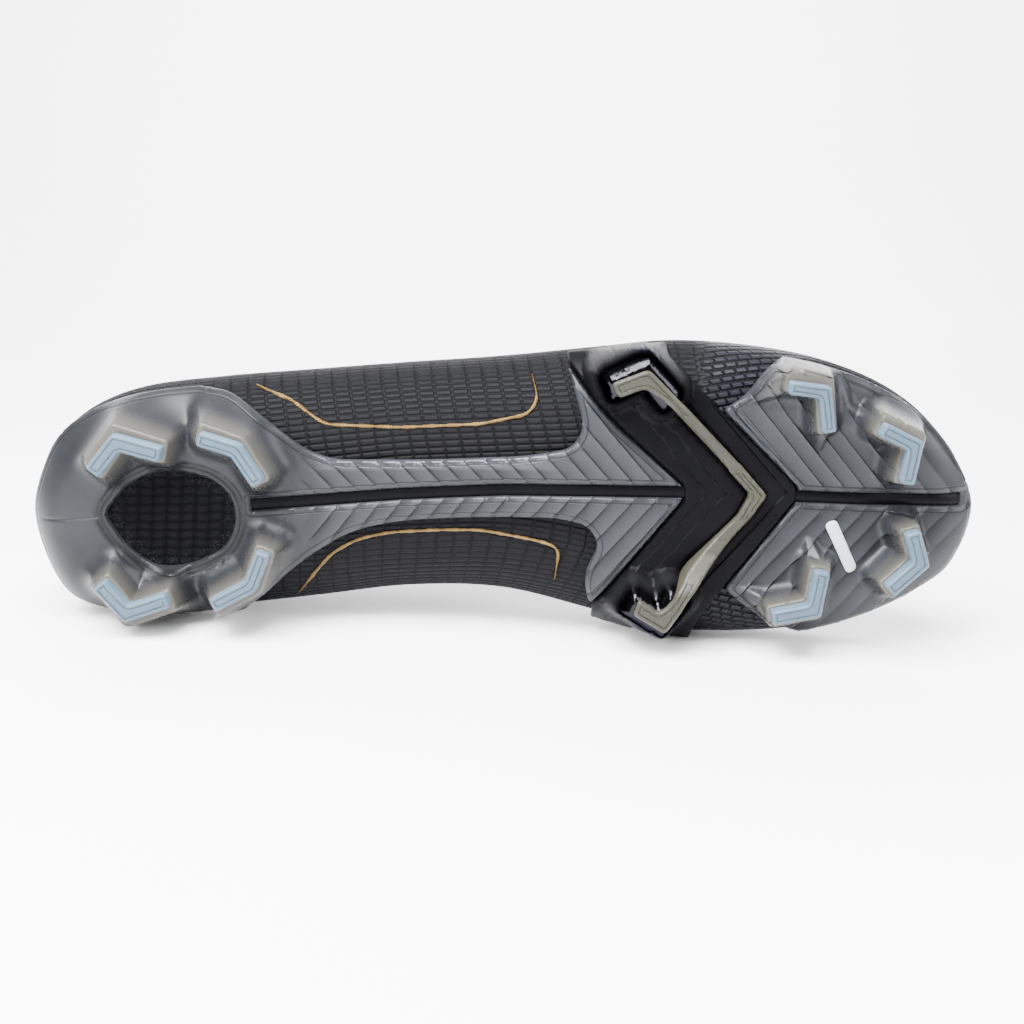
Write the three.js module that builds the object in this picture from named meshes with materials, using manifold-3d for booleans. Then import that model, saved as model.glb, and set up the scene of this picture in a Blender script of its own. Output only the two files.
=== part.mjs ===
// Firm-ground soccer cleat, right shoe, standing on its stud tips.
// Millimetres. +X to the toe, +Y to the medial (inner) side, +Z up.
import * as THREE from 'three';
import { mergeVertices } from 'three/addons/utils/BufferGeometryUtils.js';
import Module from 'manifold-3d';

const wasm = await Module();
wasm.setup();

// ---------- overall sizes ----------
const LENGTH = 285; // heel to toe of the upper
const WIDTH = 91; // widest place, across the ball
const COLLAR_HEIGHT = 72; // back of the collar above the ground
const STUD_HEIGHT = 13; // ground to the plates' lower face at the heel

// ---------- layers ----------
const GAP = 0.3; // clearance between neighbouring pieces
const KNIT = 1.6; // knitted upper
const COUNTER = 1.2; // heel counter and toe puff
const LINING = 1.0;
const PLATE = 2.2; // outsole plates
const BOARD = 1.3; // strobel board
const INSOLE = 3.2;
const TRIM = 0.9; // gold thread lines
const EYESTAY = 1.1;

// ---------- studs ----------
const TIP = 3.5; // height of the blue tips
const TIP_HALF_WIDTH = 2.1;
const BODY_SHOULDER = 0.9; // how far a stud body stands out round its tip
const BODY_FLARE = 2.6; // more, at the plate
const BALL_BODY_END = 1.2; // the black ball studs end this far above the ground

// ---------- outsole ----------
const GROOVE = 3.6; // width of the slot for the black spine
const EDGE_INSET = 2.4; // plate rim inside the widest line

// ---------- lacing ----------
const LACE_RADIUS = 1.2;
const HOLE_CLEARANCE = 1.1; // round the lace in its eyelets
const HOLE_ROWS = 6;
const AGLET_RADIUS = 1.65;
const AGLET_LENGTH = 14;

const HOLE_RADIUS = LACE_RADIUS + HOLE_CLEARANCE;

// The pattern below is drawn for a 285 by 91 shoe with a 72 high collar.
const SX = LENGTH / 285;
const SY = WIDTH / 91;
const SZ = COLLAR_HEIGHT / 72;
const SOLE_LIFT = STUD_HEIGHT - 13;

// Stations from heel to toe: x, lateral y, medial y of the widest line; height of the underside on
// the centre line; how far in and how far up the underside rounds to the widest line.
const STATIONS = [
  [0, 3, 3, 15.5, 14, 17.5],
  [3.5, -10, 20.5, 15.5, 14.5, 17.5],
  [9, -20, 30, 15.5, 16, 17.5],
  [18, -27, 34.5, 15.5, 18, 17.5],
  [32, -32.3, 36.3, 15.5, 18, 17.5],
  [56, -35.4, 36, 15.8, 19, 18],
  [84, -37.2, 34, 17, 22, 20],
  [112, -38.9, 31.6, 18, 25, 22],
  [141, -41, 32, 17.8, 25, 21],
  [170, -44.5, 37.9, 15.6, 22, 18],
  [192, -46.8, 43, 14.8, 19, 16.5],
  [214, -45.6, 43.8, 14.8, 17, 16],
  [235, -41.8, 42.2, 15.8, 16, 15.5],
  [255, -34.3, 36.5, 17.2, 15, 15.3],
  [269, -24.7, 30, 18.8, 15, 14.8],
  [279, -12.5, 22, 20.2, 14, 14.2],
  [285, 3, 3, 20.6, 13, 14.2],
];

// Collar topline and throat edge at the same stations: x, half width, height above the ground,
// rise of the side wall at the widest line, reach of the wall's upper handle, its drop.
const EDGE = [
  [12, 0, 72, 16, 0.1, 14],
  [13, 8, 72, 16, 0.1, 14],
  [16.5, 15, 71, 16, 0.1, 14],
  [23, 20.5, 68, 15, 0.1, 13],
  [34, 24, 64, 13, 0.1, 11],
  [53, 25, 61, 12, 0.12, 10],
  [75, 22, 66, 13, 0.18, 12],
  [97, 16, 79, 14, 0.26, 13],
  [118, 12, 85, 14, 0.34, 10],
  [142, 11, 75, 13, 0.38, 7],
  [160, 10.3, 66.5, 12, 0.42, 5],
  [174, 9.3, 60.5, 11, 0.46, 3.5],
  [183, 7.5, 57, 10.5, 0.5, 2.5],
  [187.5, 5.2, 55.5, 10, 0.52, 2],
  [189.8, 3.2, 54.8, 10, 0.54, 1.8],
  [190.8, 1.5, 54.5, 10.5, 0.55, 1.6],
  [191, 0, 54.4, 11, 0.55, 1.5],
];
const LAST = STATIONS.length - 1;

// Plan outlines of the outsole, seen from above: x, y.
const REAR_PLATE = [
  [-20, -60], [48, -60], [48.5, -33.4], [60.5, -30.4], [71.5, -23.8], [82, -16.6], [91, -13.2],
  [120, -13], [149, -14.2], [162, -16.8], [165.5, -22.6], [164, -29.5], [161, -39.2],
  [169.8, -28.4], [194.6, -5.9], [194.6, -1.7], [168.3, 31.2], [165.8, 22], [170.5, 12.2],
  [167, 6.2], [158, 4.1], [132, 4.2], [111, 5.2], [96, 8.2], [81, 17.2], [69.5, 27.2],
  [60.5, 33.8], [59, 60], [-20, 60],
];
const WINDOW = [
  [23.5, 2.4], [30, -5.8], [37.6, -10], [47, -10.6], [56.6, -7.8], [61.8, -1.6], [62.3, 6],
  [58.6, 13.4], [48, 18.4], [37.4, 19], [29, 12.2],
];
const SPINE_REAR = [[67, 0], [82, -0.9], [111, -2.9], [142, -4.2], [170, -4.4], [196, -4.2]];
const SPINE_FRONT = [[222, -3.4], [230, -2.7], [252, -1.4], [278.4, 0]];
const V_PLATE = [
  [161.6, -39.8], [157.5, -60], [190, -60], [190, -43.2], [202.6, -31.2], [226.6, -7.6],
  [228.2, -5.3], [226.2, -4], [228.2, -1.9], [207.4, 25.9], [209, 33], [214, 60], [170, 60],
  [169, 31.4], [195.3, -1.6], [195.3, -6], [170.2, -29],
];
const FRONT_PLATE = [
  [206, -28.6], [212.3, -32.6], [217.2, -38.8], [219.5, -60], [310, -60], [310, 60], [232, 60],
  [230.4, 41.6], [220.8, 35], [213.4, 30], [208.2, 25.6], [228.9, -1.6], [227.2, -4], [229.2, -5.5],
];
const CHEVRON_OUTER = [
  [172.4, -38.4], [182.9, -42.4], [189.3, -35.6], [210.1, -12.3], [218.6, -4], [210.7, 3.4],
  [196.3, 17.7], [195.4, 26.9], [189.4, 35.8], [179.8, 29.8],
];
const CHEVRON_INNER = [
  [181.8, 25.6], [187.8, 29.6], [190.4, 25.2], [191.8, 15.8], [206.4, 1.2], [211.6, -4.1],
  [206.2, -9.6], [186, -32.6], [182, -37], [174.6, -34.2],
];
// Side profile of the chevron strip: it lies in the V and drops to the ground at both ends.
const CHEVRON_PROFILE = [
  [-50, 0], [-31, 0], [-25, 6.4], [-20, 9.2], [12, 9.2], [17, 6.4], [24, 0], [46, 0],
  [46, 3.2], [25.4, 3.2], [18.2, 9.8], [12.6, 12.6], [-20.6, 12.6], [-26.2, 9.8], [-32.4, 3.2],
  [-50, 3.2],
];

// Stud tips as bent bars: end, corner, end; then how much wider than the rest.
const STUDS = {
  tip_heel_lateral_rear: [[25.9, -14.4], [31.8, -21.4], [42.4, -18.4], 0.2],
  tip_heel_lateral_front: [[57, -22], [65.8, -19.2], [70.8, -11], 0],
  tip_heel_medial_rear: [[25.4, 22.2], [31.5, 29.6], [41.8, 26.1], 0.2],
  tip_heel_medial_front: [[58.5, 26.2], [68.2, 21.2], [71.6, 12.9], 0],
  tip_front_lateral_rear: [[224.2, -36.9], [232.6, -35.8], [234.2, -26], -0.2],
  tip_front_lateral_front: [[251, -24.4], [259, -20.4], [257.6, -11.2], 0],
  tip_front_medial_front: [[260.6, 6.8], [263, 14.4], [255.8, 21.3], 0.1],
  tip_front_medial_rear: [[222.6, 30.6], [232.8, 28.6], [234.4, 18.8], 0.1],
};
const BALL_STUDS = [
  [[174.6, -36.4], [182.6, -39.6], [187.6, -34.4]],
  [[181.4, 27.8], [188.4, 32.2], [191.6, 27.6]],
];

const GOLD_LATERAL = [
  [68, -34], [78.4, -30.6], [89, -23.4], [111.4, -22.4], [134.9, -23.4], [149, -26.4],
  [152.1, -30.6], [150.4, -37.4],
];
const GOLD_MEDIAL = [
  [68.4, 31.6], [80.2, 22.6], [89.7, 13.2], [104.7, 9.4], [122.7, 8.6], [134.8, 8.6],
  [152.6, 11.8], [158.6, 13.8], [157.4, 24.4],
];
const BADGE = [[237, 5.4], [240.4, 4], [247.8, 19.4], [244.8, 21]];

// ---------- materials ----------
function finish(color, roughness, metalness = 0) {
  return new THREE.MeshStandardMaterial({ color, roughness, metalness });
}
const KNIT_BLACK = finish(0x17181a, 0.85);
const LINING_BLACK = finish(0x101112, 0.9);
const BOARD_GREY = finish(0x55565a, 0.9);
const PLATE_GREY = finish(0x4a525c, 0.35, 0.25);
const GLOSS_BLACK = finish(0x0c0c0e, 0.15);
const CHEVRON_OLIVE = finish(0x6f6f62, 0.35);
const TIP_BLUE = finish(0x8fa9bd, 0.3);
const GOLD = finish(0xb08a4a, 0.4, 0.3);
const WHITE = finish(0xe8eaec, 0.4);

// ---------- solids ----------
function solidOf(geometry) {
  const bare = geometry.index ? geometry.toNonIndexed() : geometry.clone();
  for (const name of Object.keys(bare.attributes)) {
    if (name !== 'position') bare.deleteAttribute(name);
  }
  const merged = mergeVertices(bare, 1e-4);
  const mesh = new wasm.Mesh({
    numProp: 3,
    vertProperties: new Float32Array(merged.attributes.position.array),
    triVerts: new Uint32Array(merged.index.array),
  });
  return new wasm.Manifold(mesh);
}

function geometryOf(solid) {
  const mesh = solid.getMesh();
  const geometry = new THREE.BufferGeometry();
  geometry.setAttribute('position', new THREE.BufferAttribute(mesh.vertProperties, 3));
  geometry.setIndex(new THREE.BufferAttribute(mesh.triVerts, 1));
  return geometry;
}

function meshFrom(points, faces) {
  const geometry = new THREE.BufferGeometry();
  geometry.setAttribute('position', new THREE.Float32BufferAttribute(points.flat(), 3));
  geometry.setIndex(faces.flat());
  return geometry;
}

function plan(points) {
  return points.map(([x, y]) => [x * SX, y * SY]);
}

// A straight block of a plan outline between two heights.
function prism(outline, low, high) {
  const shape = new THREE.Shape(outline.map(([x, y]) => new THREE.Vector2(x, y)));
  const geometry = new THREE.ExtrudeGeometry(shape, { depth: high - low, bevelEnabled: false });
  return solidOf(geometry.translate(0, 0, low));
}

// A block of a side profile (y, z), run along x.
function sideProfile(profile, from, to) {
  const shape = new THREE.Shape(profile.map(([y, z]) => new THREE.Vector2(y, z)));
  const geometry = new THREE.ExtrudeGeometry(shape, { depth: to - from, bevelEnabled: false });
  const axes = new THREE.Matrix4().makeBasis(
    new THREE.Vector3(0, 1, 0),
    new THREE.Vector3(0, 0, 1),
    new THREE.Vector3(1, 0, 0),
  );
  return solidOf(geometry.applyMatrix4(axes).translate(from, 0, 0));
}

function sideOf(a, b) {
  const length = Math.hypot(b[0] - a[0], b[1] - a[1]);
  return [-(b[1] - a[1]) / length, (b[0] - a[0]) / length];
}

// Offset of an open or closed line to its left by a distance, with mitred corners.
function offsetLine(line, distance, closed) {
  const count = line.length;
  return line.map((point, i) => {
    const before = i > 0 ? line[i - 1] : closed ? line[count - 1] : null;
    const after = i < count - 1 ? line[i + 1] : closed ? line[0] : null;
    const n1 = sideOf(before ?? point, before ? point : after);
    const n2 = sideOf(after ? point : before, after ?? point);
    const scale = distance / Math.max(0.35, 1 + n1[0] * n2[0] + n1[1] * n2[1]);
    return [point[0] + (n1[0] + n2[0]) * scale, point[1] + (n1[1] + n2[1]) * scale];
  });
}

// The band of half a width on both sides of an open line, its ends run on by `extend`.
function band(line, half, extend = 0) {
  const path = line.map((p) => [...p]);
  const last = path.length - 1;
  for (const [end, next] of [[0, 1], [last, last - 1]]) {
    const run = Math.hypot(path[end][0] - path[next][0], path[end][1] - path[next][1]);
    for (const k of [0, 1]) path[end][k] += ((path[end][k] - path[next][k]) * extend) / run;
  }
  return [...offsetLine(path, -half, false), ...offsetLine(path, half, false).reverse()];
}

// A solid between matching outlines at a rising list of heights.
function stack(levels) {
  const count = levels[0].outline.length;
  const points = [];
  const faces = [];
  for (const { outline, z } of levels) {
    for (const [x, y] of outline) points.push([x, y, z]);
  }
  for (let row = 0; row < levels.length - 1; row += 1) {
    for (let i = 0; i < count; i += 1) {
      const a = row * count + i;
      const b = row * count + ((i + 1) % count);
      faces.push([a, b, b + count], [a, b + count, a + count]);
    }
  }
  const contour = (level) => level.outline.map(([x, y]) => new THREE.Vector2(x, y));
  const top = (levels.length - 1) * count;
  for (const [a, b, c] of THREE.ShapeUtils.triangulateShape(contour(levels[0]), [])) {
    faces.push([a, c, b]);
    faces.push([a + top, b + top, c + top]);
  }
  return solidOf(meshFrom(points, faces));
}

function isCounterClockwise(outline) {
  return THREE.ShapeUtils.area(outline.map(([x, y]) => new THREE.Vector2(x, y))) > 0;
}

// ---------- the upper's surface ----------
function spline(points) {
  return new THREE.CatmullRomCurve3(points, false, 'centripetal');
}

const WIDEST = [1, 2].map((column) =>
  spline(STATIONS.map((s) => new THREE.Vector3(s[0] * SX, s[column] * SY, s[3] + s[5] + SOLE_LIFT))),
);
const UNDERSIDE = new THREE.CatmullRomCurve3(
  STATIONS.map((s) => new THREE.Vector3(s[3] + SOLE_LIFT, s[4] * SY, s[5])),
  false,
  'catmullrom',
);

function centreAt(x) {
  const line = [
    [0, 3], [18, 3], [60, 0.5], [110, -3], [150, -4], [190, -2], [240, 1], [266, 3], [285, 3],
  ];
  const at = x / SX;
  let k = 0;
  while (k < line.length - 2 && at > line[k + 1][0]) k += 1;
  const [x0, y0] = line[k];
  const [x1, y1] = line[k + 1];
  const t = THREE.MathUtils.smoothstep(at, x0, x1);
  return (y0 + (y1 - y0) * t) * SY;
}

const EDGES = [-1, 1].map((side) =>
  spline(
    EDGE.map(([x, half, z]) => {
      const y = centreAt(x * SX) + side * half * SY;
      return new THREE.Vector3(x * SX, y, z * SZ + SOLE_LIFT);
    }),
  ),
);

function between(column, s) {
  const k = Math.min(LAST - 1, Math.floor(s));
  return EDGE[k][column] + (EDGE[k + 1][column] - EDGE[k][column]) * (s - k);
}

// Point on the upper. side 0 lateral, 1 medial; s from 0 at the heel to 16 at the toe;
// v from -2 (centre of the underside) through -1 (where it begins to round) and 0 (widest line)
// to 1 (collar and throat edge).
function surface(side, s, v) {
  const widest = WIDEST[side].getPoint(s / LAST);
  const { x: bottom, y: inset, z: rise } = UNDERSIDE.getPoint(s / LAST);
  if (v >= 0) {
    const edge = EDGES[side].getPoint(s / LAST);
    const reach = between(4, s);
    const low = widest.clone();
    low.z += between(3, s) * SZ;
    const high = edge.clone();
    high.x += (widest.x - edge.x) * reach;
    high.y += (widest.y - edge.y) * reach;
    high.z -= between(5, s) * SZ;
    return new THREE.CubicBezierCurve3(widest, low, high, edge).getPoint(v);
  }
  const inward = inwardAt(side, s);
  const angle = THREE.MathUtils.clamp(-v, 0, 1) * (Math.PI / 2);
  const point = widest.clone().addScaledVector(inward, inset * (1 - Math.cos(angle)));
  point.z = bottom + rise * (1 - Math.sin(angle));
  if (v < -1) {
    const centre = new THREE.Vector3(point.x, centreAt(point.x), bottom);
    point.lerp(centre, -1 - v);
  }
  return point;
}

function inwardAt(side, s) {
  const tangent = WIDEST[side].getTangent(THREE.MathUtils.clamp(s / LAST, 0, 1));
  if (s <= 0.01 || s >= LAST - 0.01) return new THREE.Vector3(s < 1 ? 1 : -1, 0, 0);
  const sign = side === 0 ? 1 : -1;
  return new THREE.Vector3(-tangent.y * sign, tangent.x * sign, 0).normalize();
}

// Outward unit normal: an ellipse's below the widest line, the surface's own directions above it.
function normalAt(side, s, v) {
  if (v <= 0) {
    const { y: inset, z: rise } = UNDERSIDE.getPoint(s / LAST);
    const angle = Math.min(1, -v) * (Math.PI / 2);
    const normal = inwardAt(side, s).multiplyScalar(-Math.cos(angle) / inset);
    normal.z = -Math.sin(angle) / rise;
    return normal.normalize();
  }
  const ds = 0.04;
  const dv = 0.02;
  const s0 = Math.max(0.02, s - ds);
  const s1 = Math.min(LAST - 0.02, s + ds);
  const along = surface(side, s1, v).sub(surface(side, s0, v));
  const up = surface(side, s, Math.min(1, v + dv)).sub(surface(side, s, v - dv));
  const normal = side === 0 ? along.cross(up) : up.cross(along);
  if (s <= 0.02 || s >= LAST - 0.02) normal.y = 0;
  return normal.normalize();
}

function offsetPoint(side, s, v, distance) {
  const point = surface(side, s, v);
  return point.addScaledVector(normalAt(side, s, Math.max(v, -1)), distance).toArray();
}

// Ring of points round the shoe at one v: heel, lateral side, toe, medial side.
const RING_S = [
  0, 0.5, 1, 1.5, 2, 2.5, 3, 3.6, 4.3, 5, 5.75, 6.5, 7.25, 8, 8.7, 9.4, 10.1, 10.8, 11.5, 12.2,
  12.8, 13.4, 14, 14.6, 15.2, 15.6, 16,
];
const HALF = RING_S.length - 1;
const RING = HALF * 2;
function ring(v, distance) {
  const points = [];
  for (let i = 0; i <= HALF; i += 1) points.push(offsetPoint(0, RING_S[i], v, distance));
  for (let i = HALF - 1; i > 0; i -= 1) points.push(offsetPoint(1, RING_S[i], v, distance));
  return points;
}

// Faces between ring a (lower on the outside) and ring b, wound to face outwards.
function ringFaces(a, b, flip = false) {
  const faces = [];
  for (let i = 0; i < RING; i += 1) {
    const j = (i + 1) % RING;
    const quad = [[a + i, a + j, b + j], [a + i, b + j, b + i]];
    for (const [p, q, r] of quad) faces.push(flip ? [p, r, q] : [p, q, r]);
  }
  return faces;
}

// Strips that close a ring from its lateral to its medial side.
function capFaces(start, down) {
  const faces = [];
  const other = (i) => start + ((RING - i) % RING);
  for (let i = 0; i < HALF; i += 1) {
    const a = start + i;
    const b = start + i + 1;
    const c = other(i + 1);
    const d = other(i);
    const quad = [];
    if (b !== c) quad.push([a, b, c]);
    if (a !== d) quad.push([a, c, d]);
    for (const [p, q, r] of quad) faces.push(down ? [p, r, q] : [p, q, r]);
  }
  return faces;
}

const LOW_ROWS = [-1.45, -1, -0.75, -0.5, -0.25, 0];
const HIGH_ROWS = [0.15, 0.33, 0.52, 0.7, 0.86, 1];

// The lower half of the upper's shape, moved out by a distance and closed above its widest line.
function lowerForm(distance, headroom) {
  const rows = LOW_ROWS.map((v) => ring(v, distance));
  rows.push(rows[rows.length - 1].map(([x, y, z]) => [x, y, z + headroom]));
  const faces = capFaces(0, true);
  for (let row = 0; row < rows.length - 1; row += 1) {
    faces.push(...ringFaces(row * RING, (row + 1) * RING));
  }
  faces.push(...capFaces((rows.length - 1) * RING, false));
  return solidOf(meshFrom(rows.flat(), faces));
}

// A closed shell between two offsets, open at the collar and throat.
function shell(outside, inside) {
  const levels = [...LOW_ROWS, ...HIGH_ROWS];
  const outer = levels.map((v) => ring(v, outside));
  const inner = levels.map((v) => ring(v, inside));
  const faces = capFaces(0, true);
  const base = outer.length * RING;
  for (let row = 0; row < levels.length - 1; row += 1) {
    faces.push(...ringFaces(row * RING, (row + 1) * RING));
    faces.push(...ringFaces(base + row * RING, base + (row + 1) * RING, true));
  }
  const last = levels.length - 1;
  faces.push(...ringFaces(last * RING, base + last * RING));
  faces.push(...capFaces(base, false));
  return solidOf(meshFrom([...outer.flat(), ...inner.flat()], faces));
}

// A closed sheet over a grid of places [side, s], between two rows of v and two offsets.
function sheet(places, rows, outside, inside) {
  const width = places.length;
  const count = width * rows.length;
  const points = [];
  const faces = [];
  for (const distance of [outside, inside]) {
    for (const v of rows) {
      for (const [side, s] of places) points.push(offsetPoint(side, s, v, distance));
    }
  }
  for (let r = 0; r < rows.length - 1; r += 1) {
    for (let i = 0; i < width - 1; i += 1) {
      const a = r * width + i;
      const b = a + 1;
      const c = b + width;
      const d = a + width;
      faces.push([a, b, c], [a, c, d]);
      faces.push([a + count, c + count, b + count], [a + count, d + count, c + count]);
    }
  }
  const rim = [];
  for (let i = 0; i < width; i += 1) rim.push(i);
  for (let r = 1; r < rows.length; r += 1) rim.push(r * width + width - 1);
  for (let i = width - 2; i >= 0; i -= 1) rim.push((rows.length - 1) * width + i);
  for (let r = rows.length - 2; r > 0; r -= 1) rim.push(r * width);
  rim.forEach((a, k) => {
    const b = rim[(k + 1) % rim.length];
    faces.push([a, a + count, b + count], [a, b + count, b]);
  });
  return meshFrom(points, faces);
}

function range(from, to, steps) {
  return Array.from({ length: steps + 1 }, (_, i) => from + ((to - from) * i) / steps);
}

// Places on the rings' own stations, from the medial side round the heel to the lateral side.
function aroundHeel(reach) {
  const lateral = RING_S.filter((s) => s > 0 && s <= reach);
  const medial = [...lateral].reverse();
  return [...medial.map((s) => [1, s]), [0, 0], ...lateral.map((s) => [0, s])];
}
// The same round the toe, from the lateral side to the medial side.
function aroundToe(from) {
  const lateral = RING_S.filter((s) => s >= from);
  const medial = lateral.slice(0, -1).reverse();
  return [...lateral.map((s) => [0, s]), ...medial.map((s) => [1, s])];
}
function alongThroat(side, from, to) {
  const stations = RING_S.filter((s) => s >= from && s <= to);
  if (side === 1) stations.reverse();
  return stations.map((s) => [side, s]);
}

const OUTLINE = ring(0, 0);

// ---------- outsole ----------
const inBody = lowerForm(GAP, 40);
const plateSkin = lowerForm(GAP + PLATE, 1).subtract(inBody);
function insetOutline(distance) {
  return offsetLine(OUTLINE.map(([x, y]) => [x, y]), distance, true);
}
const rimBlock = prism(insetOutline(EDGE_INSET), -5, 60);
const vRimBlock = prism(insetOutline(EDGE_INSET - 1.2), -5, 60);

function plateFrom(outline, rim = rimBlock) {
  return prism(plan(outline), -5, 60).intersect(plateSkin).intersect(rim);
}

function studBody(line, extra, endHeight, endHalf, flare) {
  const path = plan(line);
  const levels = [
    [endHalf, endHeight],
    [endHalf + 0.5, endHeight + 3],
    [endHalf + flare * 0.45, endHeight + (STUD_HEIGHT - endHeight) * 0.62],
    [endHalf + flare, STUD_HEIGHT],
    [endHalf + flare, STUD_HEIGHT + 9],
  ].map(([half, z]) => ({ outline: band(path, half, half + extra), z }));
  if (!isCounterClockwise(levels[0].outline)) levels.forEach((l) => l.outline.reverse());
  return stack(levels);
}

function studTip(line, wider) {
  const half = TIP_HALF_WIDTH + wider;
  const path = plan(line);
  const levels = [
    { outline: band(path, half - 0.5, half - 0.7), z: 0 },
    { outline: band(path, half, half - 0.2), z: 0.6 },
    { outline: band(path, half, half - 0.2), z: TIP },
  ];
  if (!isCounterClockwise(levels[0].outline)) levels.forEach((l) => l.outline.reverse());
  return stack(levels);
}

function bodiesFor(names) {
  return names.map((name) => {
    const [a, b, c, wider] = STUDS[name];
    const half = TIP_HALF_WIDTH + wider + BODY_SHOULDER;
    return studBody([a, b, c], 0, TIP + GAP, half, BODY_FLARE);
  });
}

function spineStrip(line, half, low, high) {
  return prism(band(plan(line), half), low, high);
}

const studNames = Object.keys(STUDS);
const windowBlock = prism(plan(WINDOW), -5, 60);

let rearPlate = plateFrom(REAR_PLATE);
for (const body of bodiesFor(studNames.slice(0, 4))) rearPlate = rearPlate.add(body);
rearPlate = rearPlate.subtract(inBody).subtract(windowBlock);
rearPlate = rearPlate.subtract(spineStrip([...SPINE_REAR, [205, -4]], GROOVE / 2, -5, 60));

let frontPlate = plateFrom(FRONT_PLATE);
for (const body of bodiesFor(studNames.slice(4))) frontPlate = frontPlate.add(body);
frontPlate = frontPlate.subtract(inBody);
frontPlate = frontPlate.subtract(spineStrip(SPINE_FRONT, GROOVE / 2, -5, 60));

function chevron(grow) {
  const outline = [...plan(CHEVRON_OUTER), ...plan(CHEVRON_INNER)];
  const wider = grow > 0 ? offsetLine(outline, -grow, true) : outline;
  const profile = CHEVRON_PROFILE.map(([y, z]) => [y * SY, z]);
  const taller = grow > 0 ? offsetLine(profile, -grow, true) : profile;
  return prism(wider, -5, 30).intersect(sideProfile(taller, 150 * SX, 235 * SX));
}

let spinePlate = plateFrom(V_PLATE, vRimBlock);
const spineBars = [SPINE_REAR, SPINE_FRONT].map((line) => {
  const bar = spineStrip(line, GROOVE / 2 - GAP, -5, 60);
  return bar.intersect(lowerForm(GAP + PLATE - 0.6, 1)).subtract(inBody);
});
for (const bar of spineBars) spinePlate = spinePlate.add(bar);
for (const line of BALL_STUDS) {
  const body = studBody(line, 0, BALL_BODY_END, TIP_HALF_WIDTH + 1.6, BODY_FLARE + 0.4);
  spinePlate = spinePlate.add(body);
}
spinePlate = spinePlate.subtract(inBody).subtract(chevron(GAP));
rearPlate = rearPlate.subtract(prism(plan(V_PLATE), -5, 60));

// ---------- trims on the knit ----------
function onKnit(line, half, thickness) {
  const skin = lowerForm(GAP + thickness, 1).subtract(inBody);
  return prism(band(plan(line), half), -5, 60).intersect(skin);
}

// ---------- inside ----------
function inside(outer, thickness, row) {
  const skin = lowerForm(-outer, 1).subtract(lowerForm(-outer - thickness, 40));
  return prism(ring(row, 0), -5, 60).intersect(skin);
}

// ---------- upper, eyestays and holes ----------
const HOLE_V = 0.86;
const HOLE_STATIONS = range(8.35, 12.1, HOLE_ROWS - 1).reverse();
function holeFrame(side, row) {
  const s = HOLE_STATIONS[row];
  const centre = surface(side, s, HOLE_V);
  return { centre, normal: normalAt(side, s, HOLE_V), edge: surface(side, s, 1), s };
}

function drill(frame) {
  const cylinder = new THREE.CylinderGeometry(HOLE_RADIUS, HOLE_RADIUS, 9, 10);
  const turn = new THREE.Quaternion().setFromUnitVectors(new THREE.Vector3(0, 1, 0), frame.normal);
  cylinder.applyQuaternion(turn);
  cylinder.translate(frame.centre.x, frame.centre.y, frame.centre.z);
  return solidOf(cylinder);
}

let knit = shell(0, -KNIT);
const eyestays = [0, 1].map((side) => {
  const places = alongThroat(side, 7.9, 13.5);
  return solidOf(sheet(places, [0.7, 0.86, 1], GAP + EYESTAY, GAP));
});
for (const side of [0, 1]) {
  for (let row = 0; row < HOLE_ROWS; row += 1) {
    const hole = drill(holeFrame(side, row));
    knit = knit.subtract(hole);
    eyestays[side] = eyestays[side].subtract(hole);
  }
}

// A round cord along a smooth path.
function cord(points, radius, steps, sides = 6) {
  const section = new THREE.Shape();
  for (let i = 0; i < sides; i += 1) {
    const angle = (i / sides) * Math.PI * 2;
    const at = [Math.cos(angle) * radius, Math.sin(angle) * radius];
    if (i === 0) section.moveTo(...at);
    else section.lineTo(...at);
  }
  section.closePath();
  const path = new THREE.CatmullRomCurve3(points, false, 'centripetal');
  return new THREE.ExtrudeGeometry(section, { steps, extrudePath: path, bevelEnabled: false });
}

// A strand that passes under the knit runs this far below its outer face.
const UNDER_KNIT = KNIT + LACE_RADIUS + 0.8;

// Half of the lacing: up through a hole, over the tongue, under the far edge, up the next hole.
function lacePoints(startSide, lift) {
  const points = [];
  let side = startSide;
  for (let row = 0; row < HOLE_ROWS; row += 1) {
    const { centre, normal, edge } = holeFrame(side, row);
    const at = (base, along) => base.clone().addScaledVector(normal, along);
    if (row > 0) points.push(at(centre.clone().lerp(edge, 0.45), -UNDER_KNIT - 0.4));
    points.push(at(centre, -KNIT - LACE_RADIUS), at(centre, 0.4), at(centre, LACE_RADIUS + 1.7));
    if (row === HOLE_ROWS - 1) break;
    const far = holeFrame(1 - side, row + 1);
    const leave = at(edge, GAP + EYESTAY + LACE_RADIUS + 0.5);
    const arrive = far.edge.clone().addScaledVector(far.normal, -UNDER_KNIT);
    points.push(leave, leave.clone().lerp(arrive, 0.5).add(new THREE.Vector3(0, 0, lift)), arrive);
    side = 1 - side;
  }
  return { points, side };
}

const right = lacePoints(0, 1.6);
const left = lacePoints(1, -1.1);

// Each end goes over the topline ahead of the padded collar and hangs down inside the shoe.
function laceTail(side) {
  const at = (s, v, distance) => new THREE.Vector3(...offsetPoint(side, s, v, distance));
  const inner = (s, v) => at(s, v, -UNDER_KNIT - 0.4);
  const top = at(7.95, 1, 2.4);
  top.z += 2;
  const over = at(7.9, 1, -2.6);
  over.z += 2.6;
  const down = at(7.85, 0.96, -UNDER_KNIT - 0.6);
  return [at(8.05, 0.95, 3.6), top, over, down, inner(7.8, 0.82), inner(7.75, 0.68)];
}
const tails = [laceTail(right.side), laceTail(left.side)];
const under = [holeFrame(0, 0), holeFrame(1, 0)].map(({ edge, normal }) =>
  edge.clone().addScaledVector(normal, -UNDER_KNIT),
);
const lacePath = [
  ...tails[0].slice().reverse(),
  ...right.points.slice().reverse(),
  under[0],
  under[1],
  ...left.points,
  ...tails[1],
];

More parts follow.
